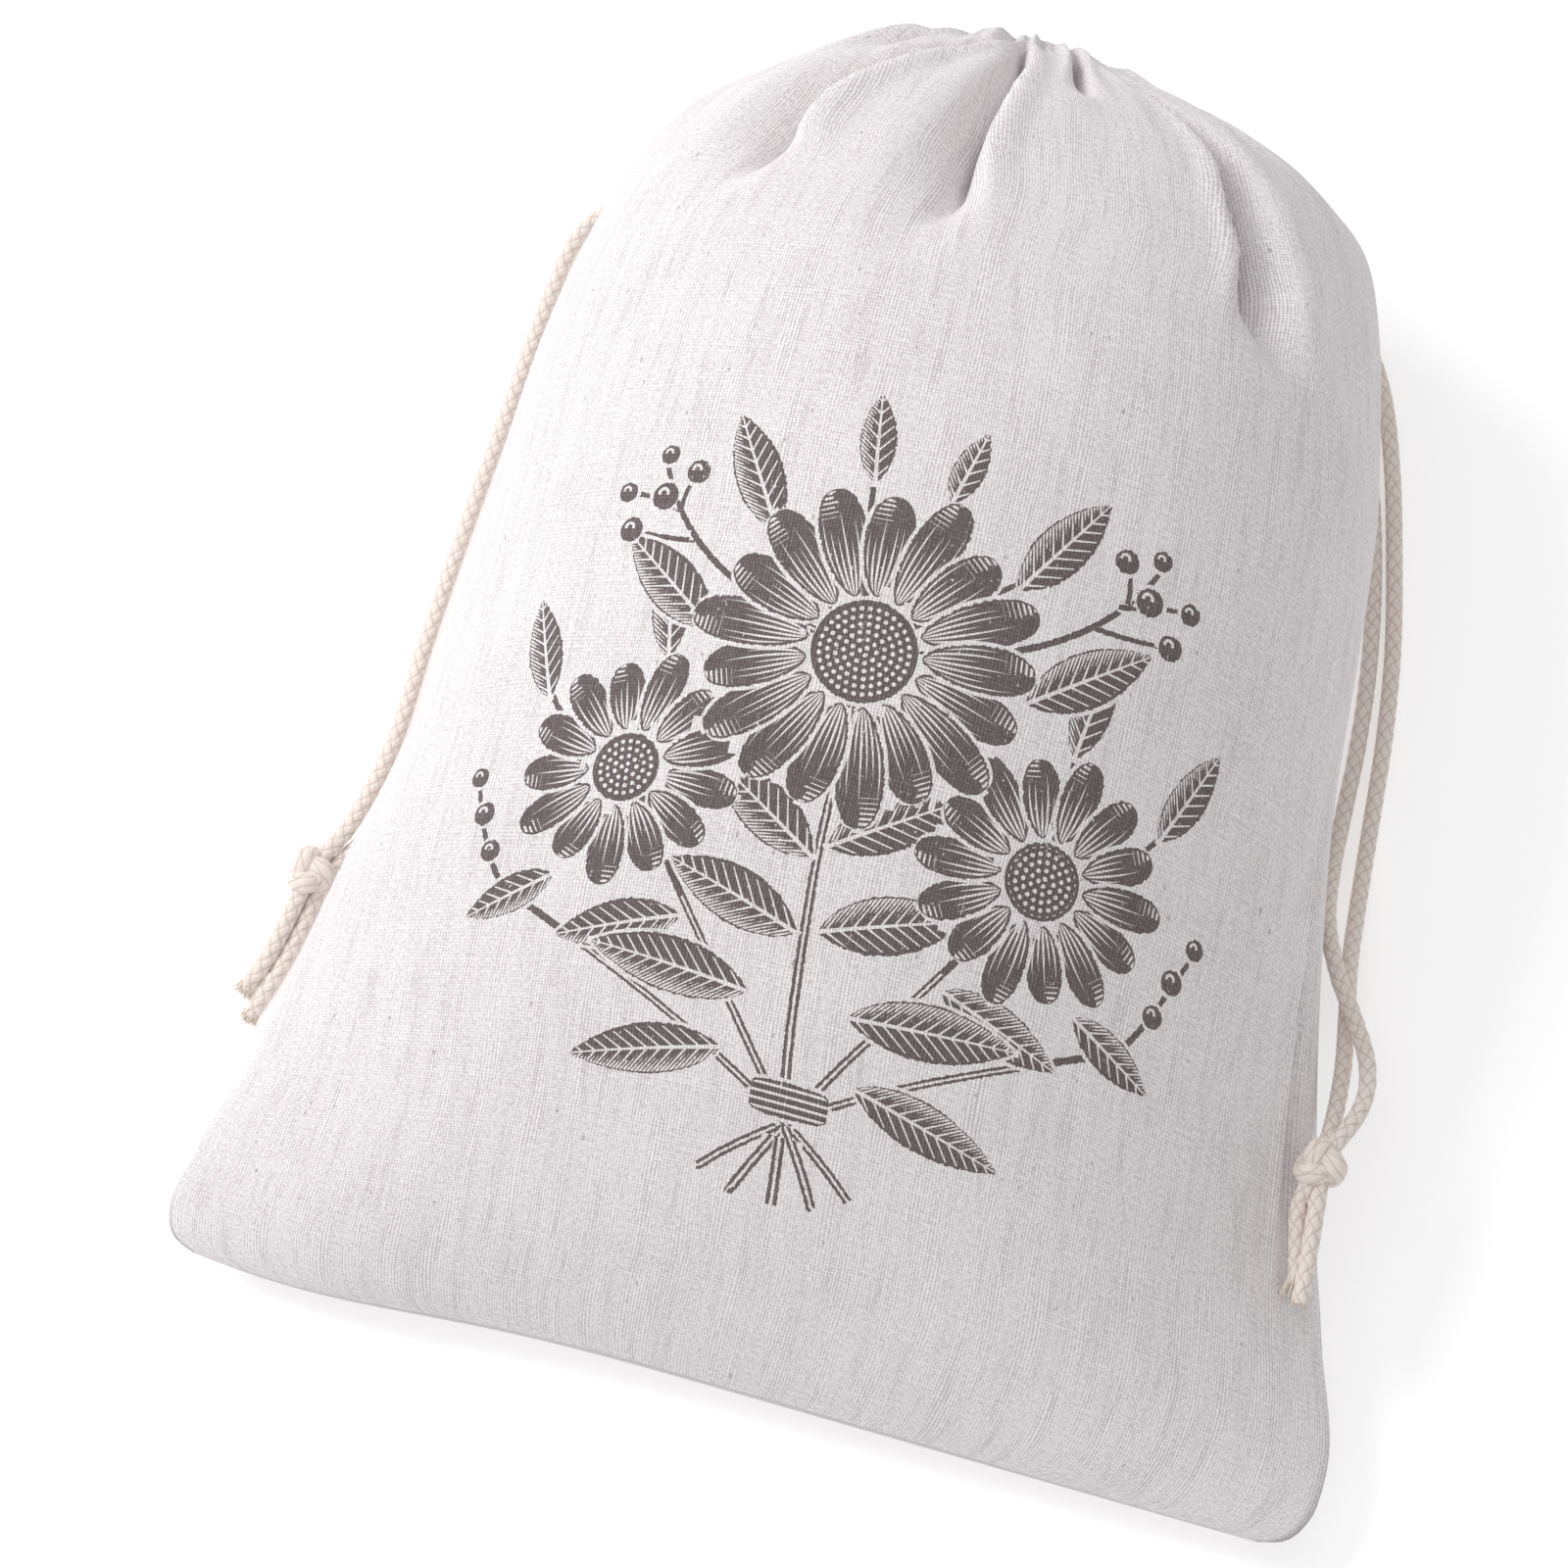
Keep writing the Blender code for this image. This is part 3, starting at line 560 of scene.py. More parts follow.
def setAttribute(mesh, name, values):
    mesh.attributes.new(name, "FLOAT_VECTOR", "CORNER").data.foreach_set("vector", values.ravel())


def setPrint(obj):
    # each face holds the place within the two foremost shapes that reach it,
    # and the way to the nearest stem
    mesh = obj.data
    q = (clothUv - np.array(printed["middle"])) / printed["scale"]
    faceCount = len(mesh.polygons)
    size = np.bincount(loopFace, minlength=faceCount)
    middle = [np.bincount(loopFace, weights=q[:, k], minlength=faceCount) / size for k in range(2)]
    middle = np.stack(middle, axis=1)
    usable = np.bincount(loopFace, weights=frontLoops.astype(float), minlength=faceCount) == size
    chosen = -np.ones((2, faceCount), dtype=int)
    motifs = printMotifs()
    for index, motif in enumerate(motifs):
        long, half, p, s = motif[3], motif[4], motif[5], motif[6]
        along, across = localPlace(motif, middle)
        inside = along.clip(0.0, 1.0)
        profile = inside ** p * (1.0 - inside) ** s / peakOf(p, s)
        past = np.maximum(along - 1.0, -along).clip(0.0) * long
        gap = np.maximum((np.abs(across) - profile) * half, 0.0)
        near = usable & (np.hypot(gap, past) < printed["reach"])
        chosen[1][near & (chosen[0] >= 0) & (chosen[1] < 0)] = index
        chosen[0][near & (chosen[0] < 0)] = index
    for layer in range(2):
        place = np.tile((-1.0, 9.0, 0.0), (len(q), 1))
        form = np.tile((1.0, 1.0, 0.0), (len(q), 1))
        shape = np.tile((0.5, 0.5, 2.0), (len(q), 1))
        which = chosen[layer][loopFace]
        for index, motif in enumerate(motifs):
            here = which == index
            if not here.any():
                continue
            along, across = localPlace(motif, q[here])
            p, s = motif[5], motif[6]
            place[here] = np.stack((along, across, np.full(len(along), motif[7])), axis=1)
            form[here] = (motif[3], motif[4], (index * printed["shadeStep"]) % 1.0)
            shape[here] = (p, s, 1.0 / peakOf(p, s))
        for name, values in (("place", place), ("form", form), ("shape", shape)):
            setAttribute(mesh, name + "AB"[layer], values)
    # signed way to the nearest stem, so that its middle line stays true within a face
    far, reach = printed["far"], printed["stemReach"]
    stem = np.tile((far, 0.0, 1.0), (len(q), 1))
    best = np.full(faceCount, far)
    for points, foot, tip in printed["stems"]:
        a, b, c, d = [np.array(p) for p in points]
        t = np.linspace(0.0, 1.0, printed["stemPoints"])[:, None]
        line = a * (1 - t) ** 3 + 3 * b * t * (1 - t) ** 2 + 3 * c * t * t * (1 - t) + d * t ** 3
        low, high = line.min(axis=0) - reach, line.max(axis=0) + reach
        near = usable & ((middle > low) & (middle < high)).all(axis=1)
        away = np.full(faceCount, far)
        away[near] = np.abs(stemPlace(middle[near], line)[0])
        closer = away < best
        best[closer] = away[closer]
        corners = closer[loopFace]
        signed, where = stemPlace(q[corners], line)
        stem[corners] = np.stack((signed, where, (foot + (tip - foot) * where) / 2.0), axis=1)
    setAttribute(mesh, "stem", stem)


setPrint(bagObject)
print("print laid out")

# cords
cord = {
    "diameter": 4.5, "sides": 24, "step": 0.5, "relief": 0.42, "pitch": 9.2, "strands": 4, "valley": 0.2,
    "crown": 0.7, "perSpan": 24, "pathEvery": 12,
    "leftOuter": (
        (-23.5, 351, 55.2), (-25.5, 354.6, 54.2), (-32, 356, 48.5), (-43, 353.6, 37.5), (-59, 346, 23),
        (-82, 334, 8.5), (-103, 318, 3.2), (-114.8, 305, 2.4), (-118.7, 283, 2.4),
        (-121.3, 245, 2.4), (-123.4, 214, 2.4), (-125.2, 180, 2.4), (-126.2, 150, 2.4),
        (-130.6, 125, 4.6), (-136.4, 110, 7.6), (-138.9, 99.5, 5.2), (-140.8, 90, 4.2),
        (-143, 82, 3.4), (-146, 75.2, 2.6),
    ),
    "leftInner": (
        (-23.5, 351, 48.8), (-24.5, 354, 47), (-29, 354.8, 41.5), (-37.5, 351.5, 31), (-51, 342.5, 17),
        (-69, 329.5, 6.4), (-89, 313, 2.8), (-103, 293, 2.4), (-108.5, 266, 2.4),
        (-111.6, 238, 2.4), (-114.2, 208, 2.4), (-116.6, 177, 2.4), (-119.6, 148, 2.4),
        (-124, 127, 2.6), (-132.6, 110, 4.6), (-135, 99.5, 3), (-137.2, 88, 2.4),
        (-140, 77, 2.3), (-142.9, 68.4, 2.3),
    ),
    "rightOuter": (
        (21.5, 351, 55.2), (23.5, 354.6, 54.2), (30, 356, 48.5), (41, 353.2, 37), (57, 345, 22),
        (79.5, 333, 8.2), (97.5, 320.5, 3.2), (106.3, 307, 2.4), (113.3, 285, 2.4),
        (119.4, 257, 2.4), (123.8, 232, 2.4), (126.2, 208, 2.4), (127.4, 183, 2.6),
        (128.2, 163, 6.2), (129.2, 143, 13.2), (131.2, 126, 19.2), (132.7, 112, 24.2),
        (133, 99, 29.4), (132.4, 84, 34.8), (133, 73.5, 35.4), (133.5, 63, 34.4),
        (133.8, 55, 33.4), (134, 48, 32.2),
    ),
    "rightInner": (
        (21.5, 351, 48.8), (22.5, 354, 47), (27, 354.8, 41.5), (35.5, 351, 30.5), (49, 341.5, 16.5),
        (67.5, 329, 6.4), (87, 314, 2.8), (101, 299, 2.4), (109.2, 277, 2.4),
        (115, 251, 2.4), (118.4, 227, 2.4), (119.8, 205, 2.4), (119.9, 186, 3.4),
        (120, 169, 8.2), (121.4, 153, 14.2), (126.4, 137.5, 20.4), (133, 124.5, 25.2),
        (138.4, 112, 29.2), (138.8, 99.5, 33.2), (132.4, 83.5, 37.6), (129, 72.8, 33.8),
        (130.4, 63, 31), (131.6, 57.5, 29.8), (132.2, 53.5, 28.8),
    ),
}
knots = {
    "left": {"middle": (-136.6, 108.6, 6.9), "along": (-0.32, -0.94, -0.10), "face": (0.1, 0.0, 1.0)},
    "right": {"middle": (132.0, 82.6, 36.4), "along": (-0.10, -0.96, -0.24), "face": (-0.05, -0.2, 1.0)},
    # starting turn of each knot's loops, and their size, length, depth and thickness in mm
    "turn": {"left": 0.6, "right": 2.3}, "loop": 1.18, "long": 1.16, "deep": 1.9, "thickness": 6.4,
    "relief": 0.9, "drawn": 0.985, "points": 300,
}
fray = {
    "fibres": 52, "thick": 0.62, "sides": 5, "rings": 5,
    # shortest and longest loose yarn, and how far they spread
    "ends": {"leftOuter": (2.0, 3.4, 0.22), "leftInner": (1.8, 3.0, 0.20),
             "rightOuter": (1.6, 2.2, 0.06), "rightInner": (2.6, 5.2, 0.55)},
    "firstSeed": 31, "turn": 2.4, "inset": 1.6, "rim": 0.92, "swing": 0.5, "swingShare": 0.35,
    "lean": (-0.25, 0.35), "thickRoot": 1.15, "taper": 0.75, "rimSize": 2.2,
}


def smoothRoute(route, spacing):
    route = [Vector(p) for p in route]
    ends = [route[0] * 2 - route[1]] + route + [route[-1] * 2 - route[-2]]
    fine = []
    for i in range(1, len(ends) - 2):
        before, here, after, beyond = ends[i - 1:i + 3]
        for k in range(cord["perSpan"]):
            t = k / cord["perSpan"]
            fine.append(0.5 * (2 * here + (after - before) * t
                               + (2 * before - 5 * here + 4 * after - beyond) * t * t
                               + (3 * here - before - 3 * after + beyond) * t ** 3))
    fine.append(route[-1])
    fine = np.array([tuple(p) for p in fine])
    run = runLength(fine)
    at = np.linspace(0.0, run[-1], max(3, int(run[-1] / spacing) + 1))
    return pointsAt(fine, run, at), at


def carriedFrames(points):
    # two directions across the line, which don't twist along it
    tangent = np.gradient(points, axis=0)
    tangent /= np.linalg.norm(tangent, axis=1, keepdims=True)
    side = np.cross(tangent[0], (0.0, 0.0, 1.0))
    if np.linalg.norm(side) < 0.2:
        side = np.cross(tangent[0], (1.0, 0.0, 0.0))
    sides = []
    for direction in tangent:
        side = side - direction * (side @ direction)
        side /= np.linalg.norm(side)
        sides.append(side)
    sides = np.array(sides)
    return sides, np.cross(tangent, sides)


def braidRelief(around, along):
    # each diamond of the plait shows one of two crossing yarns
    one = cord["strands"] * around / (2.0 * math.pi) + 2.0 * along / cord["pitch"]
    two = cord["strands"] * around / (2.0 * math.pi) - 2.0 * along / cord["pitch"]
    shown = np.where((np.floor(one) + np.floor(two)) % 2 == 0, one % 1.0, two % 1.0)
    return cord["valley"] + (1.0 - cord["valley"]) * np.sin(math.pi * shown) ** cord["crown"]


def braidedTube(name, points, along, diameter, relief):
    side, up = carriedFrames(points)
    count, sides = len(points), cord["sides"]
    around = np.linspace(0.0, 2.0 * math.pi, sides, endpoint=False)
    height = braidRelief(around[None, :], along[:, None])
    radius = diameter / 2.0 + relief * (height - 1.0)
    ring = (points[:, None, :] + radius[:, :, None] * (np.cos(around)[None, :, None] * side[:, None, :]
            + np.sin(around)[None, :, None] * up[:, None, :]))
    faces = tubeFaces(count, sides, forward=True)
    faces.append(tuple(range(sides))[::-1])
    faces.append(tuple((count - 1) * sides + i for i in range(sides)))
    obj = meshPiece(name, toFrame(ring.reshape(-1, 3)), faces)
    # uv: metres around the cord and along it
    vert = loopVertices(obj.data)
    turn = (vert % sides).astype(float)
    body = (count - 1) * sides * 4
    wrap = np.zeros(len(vert), dtype=bool)
    wrap[:body] = (vert[:body].reshape(-1, 4) % sides).max(axis=1).repeat(4) == sides - 1
    small = (vert % sides == 0) & wrap & ((np.arange(len(vert)) // 4 % sides) == sides - 1)
    turn[small] = sides
    setUv(obj.data, "cordFlat", np.stack((turn / sides * math.pi * diameter, along[vert // sides]),
                                         axis=1) * mm)
    return obj


def knotWraps(name, knot, start):
    middle, axis = np.array(knot["middle"]), np.array(knot["along"])
    axis = axis / np.linalg.norm(axis)
    face = np.array(knot["face"]) - axis * (np.array(knot["face"]) @ axis)
    face /= np.linalg.norm(face)
    across = np.cross(axis, face)
    # the three crossing loops of an overhand knot, drawn tight
    t = np.linspace(0.0, 2.0 * math.pi * knots["drawn"], knots["points"])
    wide = knots["loop"] * (np.sin(t) + 2.0 * np.sin(2.0 * t))
    long = knots["loop"] * knots["long"] * (np.cos(t) - 2.0 * np.cos(2.0 * t))
    turned = (wide * math.cos(start) - long * math.sin(start),
              wide * math.sin(start) + long * math.cos(start))
    line = (middle + turned[0][:, None] * across + turned[1][:, None] * axis
            - (knots["deep"] * np.sin(3.0 * t))[:, None] * face)
    run = runLength(line)
    at = np.linspace(0.0, run[-1], int(run[-1] / cord["step"]))
    points = pointsAt(line, run, at)
    points[:, 2] = np.maximum(points[:, 2], knots["thickness"] / 2)
    return braidedTube(name, points, at, knots["thickness"], cord["relief"] * knots["relief"])


def frayedEnd(name, points, ends, seed):
    # loose yarns that leave the cut end and spread
    chance = random.Random(seed)
    tangent = points[-1] - points[-4]
    tangent /= np.linalg.norm(tangent)
    side = np.cross(tangent, (0.0, 0.0, 1.0))
    side /= np.linalg.norm(side)
    up = np.cross(side, tangent)
    verts, faces = [], []
    rings, sides = fray["rings"], fray["sides"]
    for item in range(fray["fibres"]):
        angle = item * fray["turn"]
        outward = math.cos(angle) * side + math.sin(angle) * up
        rim = cord["diameter"] / 2 * fray["rim"] * math.sqrt((item + 0.5) / fray["fibres"])
        start = points[-1] - tangent * fray["inset"] + rim * outward
        long = chance.uniform(*ends[:2])
        lean = ends[2] * (rim / fray["rimSize"] + chance.uniform(*fray["lean"]))
        aim = tangent + lean * outward
        aim /= np.linalg.norm(aim)
        swing = np.array([chance.uniform(-fray["swing"], fray["swing"]) for k in range(3)])
        base = len(verts)
        for ring in range(rings):
            t = ring / (rings - 1)
            centre = start + aim * long * t + swing * (long * fray["swingShare"]) * t * t
            centre[2] = max(centre[2], fray["thick"])
            size = fray["thick"] / 2 * (fray["thickRoot"] - fray["taper"] * t)
            for k in range(sides):
                a = 2.0 * math.pi * k / sides
                verts.append(centre + size * (math.cos(a) * side + math.sin(a) * up))
        faces += tubeFaces(rings, sides, base)
        last = base + (rings - 1) * sides
        faces.append(tuple(base + k for k in range(sides)))
        faces.append(tuple(last + k for k in range(sides))[::-1])
    return meshPiece(name, toFrame(np.array(verts)), faces)


def outwards(obj):
    bpy.ops.object.select_all(action="DESELECT")
    obj.select_set(True)
    bpy.context.view_layer.objects.active = obj
    bpy.ops.object.mode_set(mode="EDIT")
    bpy.ops.mesh.select_all(action="SELECT")
    bpy.ops.mesh.normals_make_consistent(inside=False)
    bpy.ops.object.mode_set(mode="OBJECT")
    obj.select_set(False)


outwards(bagObject)
cordPieces, frayPieces, knotPieces, cordLines = {}, {}, {}, {}
for number, name in enumerate(("leftOuter", "leftInner", "rightOuter", "rightInner")):
    points, along = smoothRoute(cord[name], cord["step"])
    cordLines[name] = points
    cordPieces[name] = braidedTube(name + "Cord", points, along, cord["diameter"], cord["relief"])
    frayPieces[name] = frayedEnd(name + "Fray", points, fray["ends"][name], fray["firstSeed"] + number)
for side, turn in knots["turn"].items():
    knotPieces[side] = knotWraps(side + "KnotWraps", knots[side], turn)
for piece in (*cordPieces.values(), *frayPieces.values(), *knotPieces.values()):
    outwards(piece)
print("cords and knots", {name: round(float(runLength(line)[-1])) for name, line in cordLines.items()})


# node helpers
class Wire:
    # one value in a node tree, which plain arithmetic works on
    def __init__(self, sketch, socket):
        self.sketch, self.socket = sketch, socket

    def __add__(self, other):
        return self.sketch.math("ADD", self, other)

    def __sub__(self, other):
        return self.sketch.math("SUBTRACT", self, other)

    def __rsub__(self, other):
        return self.sketch.math("SUBTRACT", other, self)

    def __mul__(self, other):
        return self.sketch.math("MULTIPLY", self, other)

    def __truediv__(self, other):
        return self.sketch.math("DIVIDE", self, other)

    def __pow__(self, other):
        return self.sketch.math("POWER", self, other)

    def __lt__(self, other):
        return self.sketch.math("LESS_THAN", self, other)

    def __gt__(self, other):
        return self.sketch.math("GREATER_THAN", self, other)

    def __abs__(self):
        return self.sketch.math("ABSOLUTE", self)


class NodeSketch:
    def __init__(self, tree):
        self.tree = tree

    def node(self, kind, given=(), **settings):
        # given holds the inputs' numbers or names with what goes into them
        made = self.tree.nodes.new(kind)
        for key, value in settings.items():
            setattr(made, key, value)
        for label, value in given:
            self.put(made.inputs[label], value)
        return made

    def put(self, socket, value):
        if isinstance(value, Wire):
            self.tree.links.new(value.socket, socket)
        elif isinstance(value, tuple):
            socket.default_value = (*value, 1.0)
        else:
            socket.default_value = value

    def wire(self, kind, output=0, given=(), **settings):
        return Wire(self, self.node(kind, given, **settings).outputs[output])

    def wires(self, kind, given=(), **settings):
        return [Wire(self, socket) for socket in self.node(kind, given, **settings).outputs]

    def math(self, operation, *values):
        return self.wire("ShaderNodeMath", given=enumerate(values), operation=operation)

    def larger(self, a, b):
        return self.math("MAXIMUM", a, b)

    def smaller(self, a, b):
        return self.math("MINIMUM", a, b)

    def scaled(self, a, factor, offset):
        return self.math("MULTIPLY_ADD", a, factor, offset)

    def centred(self, a, size):
        # a share from 0 to 1 becomes a change of that size about nothing
        return self.scaled(a, size, -size / 2)

    def fraction(self, a):
        return self.math("FRACT", a)

    def floor(self, a):
        return self.math("FLOOR", a)

    def sine(self, a):
        return self.math("SINE", a)

    def fold(self, a):
        # way to the middle between two whole numbers
        return abs(self.fraction(a) - 0.5)

    def away(self, a, b):
        # length of the way across by a and along by b
        return self.math("SQRT", a * a + b * b)

    def split(self, vector):
        return self.wires("ShaderNodeSeparateXYZ", [(0, vector)])

    def join(self, x, y, z=0.0):
        return self.wire("ShaderNodeCombineXYZ", given=enumerate((x, y, z)))

    def noise(self, vector, scale, detail, roughness=0.5):
        given = (("Vector", vector), ("Scale", scale), ("Detail", detail), ("Roughness", roughness))
        return self.wire("ShaderNodeTexNoise", "Fac", given)

    def stretched(self, x, y, waves, detail, roughness=0.5):
        # noise with its own waves a metre across and along, from its own place in z
        return self.noise(self.join(x * waves[0], y * waves[1], waves[2]), 1.0, detail, roughness)

    def step(self, value, low, high):
        return self.wire("ShaderNodeMapRange", "Result", (("Value", value), ("From Min", low),
                                                          ("From Max", high)))

    def blend(self, factor, a, b):
        return self.wire("ShaderNodeMix", 2, (("Factor", factor), (6, a), (7, b)), data_type="RGBA")

    def attribute(self, name):
        return self.wire("ShaderNodeAttribute", "Vector", attribute_name=name)

    def bump(self, height, strength, distance):
        given = (("Strength", strength), ("Distance", distance), ("Height", height))
        return self.wire("ShaderNodeBump", given=given)


def newGroup(name, inputs, outputs):
    group = bpy.data.node_groups.new(name, "ShaderNodeTree")
    for label, kind, value in inputs:
        socket = group.interface.new_socket(name=label, in_out="INPUT", socket_type=kind)
        if value is not None:
            socket.default_value = value
    for label in outputs:
        group.interface.new_socket(name=label, in_out="OUTPUT", socket_type="NodeSocketFloat")
    sketch = NodeSketch(group)
    given = {wire.socket.name: wire for wire in sketch.wires("NodeGroupInput")}
    return group, sketch, given, sketch.node("NodeGroupOutput").inputs


def useGroup(sketch, group, **values):
    return {wire.socket.name: wire for wire in sketch.wires("ShaderNodeGroup", values.items(),
                                                            node_tree=group)}


# weave
weave = {
    "thread": 0.00080, "wander": 2.2, "roundness": 0.7, "over": 0.36, "warpLevel": 0.64, "weftLevel": 0.60,
    # waves a metre across and along the warp, and a start of its own
    "warpDrift": (160.0, 26.0, 0.0), "weftDrift": (26.0, 160.0, 4.0),
    "bands": (340.0, 27.0, 2.0), "speckle": (1150.0, 950.0, 3.0), "speckleRoughness": 0.62,
    # length of a thick place, and how far the noise moves on from yarn to yarn
    "slubLength": 0.015, "weftSlubLength": 0.0105, "warpStep": 5.37, "weftStep": 6.11, "weftStart": 9.0,
    # from where to where the noise makes a yarn thick or thin, and the bands close or loose
    "thick": (0.50, 0.66), "thickBands": (0.42, 0.62), "thin": (0.50, 0.34), "thinBands": (0.44, 0.64),
    "crossThick": (0.58, 0.74), "looseBands": (0.34, 0.66), "looseness": (0.95, 0.55),
    "warpSwell": (0.7, 0.65), "weftSwell": (0.6, 0.68), "speckleHeight": 0.5,
    # share of each part in the cloth's tone; the parts that follow the yarns' height and darken the gaps
    # between them are painted shade
    "shade": (0.18, 0.98), "shadeMiddle": 0.62, "level": 0.74, "open": 1.25, "gapShade": 0.52,
    "thickLight": 0.24, "thinDark": 0.26, "crossShare": 0.55, "crossLight": 0.10, "speckleTone": 1.7,
}


def weaveGroup():
    w = weave
    group, s, given, out = newGroup(
        "plainWeave", (("Cloth", "NodeSocketVector", None), ("Thread", "NodeSocketFloat", w["thread"])),
        ("Height", "Tone", "Slub", "Speckle"))
    x, y = s.split(given["Cloth"])[:2]
    yarns = []
    for place, drift in ((x, "warpDrift"), (y, "weftDrift")):
        moved = (s.stretched(x, y, w[drift], 0.0) - 0.5) * w["wander"]
        yarns.append(place / given["Thread"] + moved)
    warp, weft = yarns
    warpNumber, weftNumber = s.floor(warp), s.floor(weft)
    warpRound, weftRound = [abs(s.sine(yarn * math.pi)) ** w["roundness"] for yarn in yarns]
    warpOver = s.math("COSINE", (weft - 0.5 + warpNumber) * math.pi)
    weftOver = s.math("COSINE", (warp + 0.5 + weftNumber) * math.pi)
    warpUp = warpRound * s.scaled(warpOver, w["over"], w["warpLevel"])
    weftUp = weftRound * s.scaled(weftOver, w["over"], w["weftLevel"])
    # uneven yarn: long thick places along the warp, shorter and weaker ones along the weft
    warpSlub = s.noise(s.join(warpNumber * w["warpStep"], y / w["slubLength"]), 1.0, 1.0, 0.6)
    weftPlace = s.join(x / w["weftSlubLength"], weftNumber * w["weftStep"], w["weftStart"])
    weftSlub = s.noise(weftPlace, 1.0, 0.0)
    bands = s.stretched(x, y, w["bands"], 1.0)
    thick = s.step(warpSlub, *w["thick"]) * s.step(bands, *w["thickBands"])
    thin = s.step(warpSlub, *w["thin"]) * s.step(bands, *w["thinBands"])
    crossThick = s.step(weftSlub, *w["crossThick"]) * w["crossShare"]
    speckle = s.stretched(x, y, w["speckle"], 1.0, w["speckleRoughness"])
    warpUp = warpUp * s.scaled(warpSlub, *w["warpSwell"])
    weftUp = weftUp * s.scaled(weftSlub, *w["weftSwell"])
    height = s.larger(warpUp, weftUp) + s.centred(speckle, w["speckleHeight"])
    # the weave opens in bands along the warp; there painted shade falls more strongly on the low parts of
    # the weave and in the gaps between the yarns
    loose = s.scaled(s.step(bands, *w["looseBands"]), *w["looseness"])
    tone = s.scaled(s.step(height, *w["shade"]) - w["shadeMiddle"], loose * w["open"], w["level"])
    tone = tone - (1.0 - warpRound) * loose * w["gapShade"]
    tone = tone + (thick * w["thickLight"] - thin * w["thinDark"])
    tone = tone + crossThick * w["crossLight"]
    s.put(out["Height"], height)
    # Tone: painted shade of the weave's low parts and gaps, with the yarns' own thick and thin places and
    # speckle
    s.put(out["Tone"], tone + s.centred(speckle, w["speckleTone"]))
    s.put(out["Slub"], thick - thin)
    s.put(out["Speckle"], speckle)
    return group


# light lines that are cut into the printed shapes, in mm or as shares of the shape
carving = {
    "wobble": 1.1, "rag": 0.7, "dryFrom": 0.70, "dryLoss": -0.75,
    "ribTaper": 0.34, "ribTip": 0.16, "lean": 1.05,
    "veinPitch": 3.1, "veinWidth": 0.34, "veinTaper": 0.16, "veinEnd": 0.86,
    "cutPitch": 1.03, "cutWidth": 0.33, "cutRange": (0.34, 0.84), "cutEnd": 0.93,
    "strokeSpread": 1.25, "strokeFoot": 0.15, "strokeSway": 0.16, "strokeLength": 0.66,
    "strokeStart": 0.12, "strokeWidth": 0.30, "strokeRim": 0.7,
    "tipPitch": 1.15, "tipWidth": 0.30, "tipRange": (0.70, 0.98), "tipRim": 0.55,
    "shineAlong": 0.40, "shineAcross": 0.22, "shineRadius": 0.34, "shineWidth": 0.12,
    "seedPitch": 1.75, "seedsMore": 6.0, "seedsFirst": 3.0, "seedTurn": 0.37,
    "seedRag": 0.16, "seedSize": 0.20, "seedEdge": 0.90,
    "bandPitch": 1.9, "bandWidth": 0.17, "bandRim": 0.5,
    "leastProfile": 0.05, "swayRate": 2.4, "swaySeed": 6.0, "tipSide": 0.1, "kindWidth": 0.25,
}


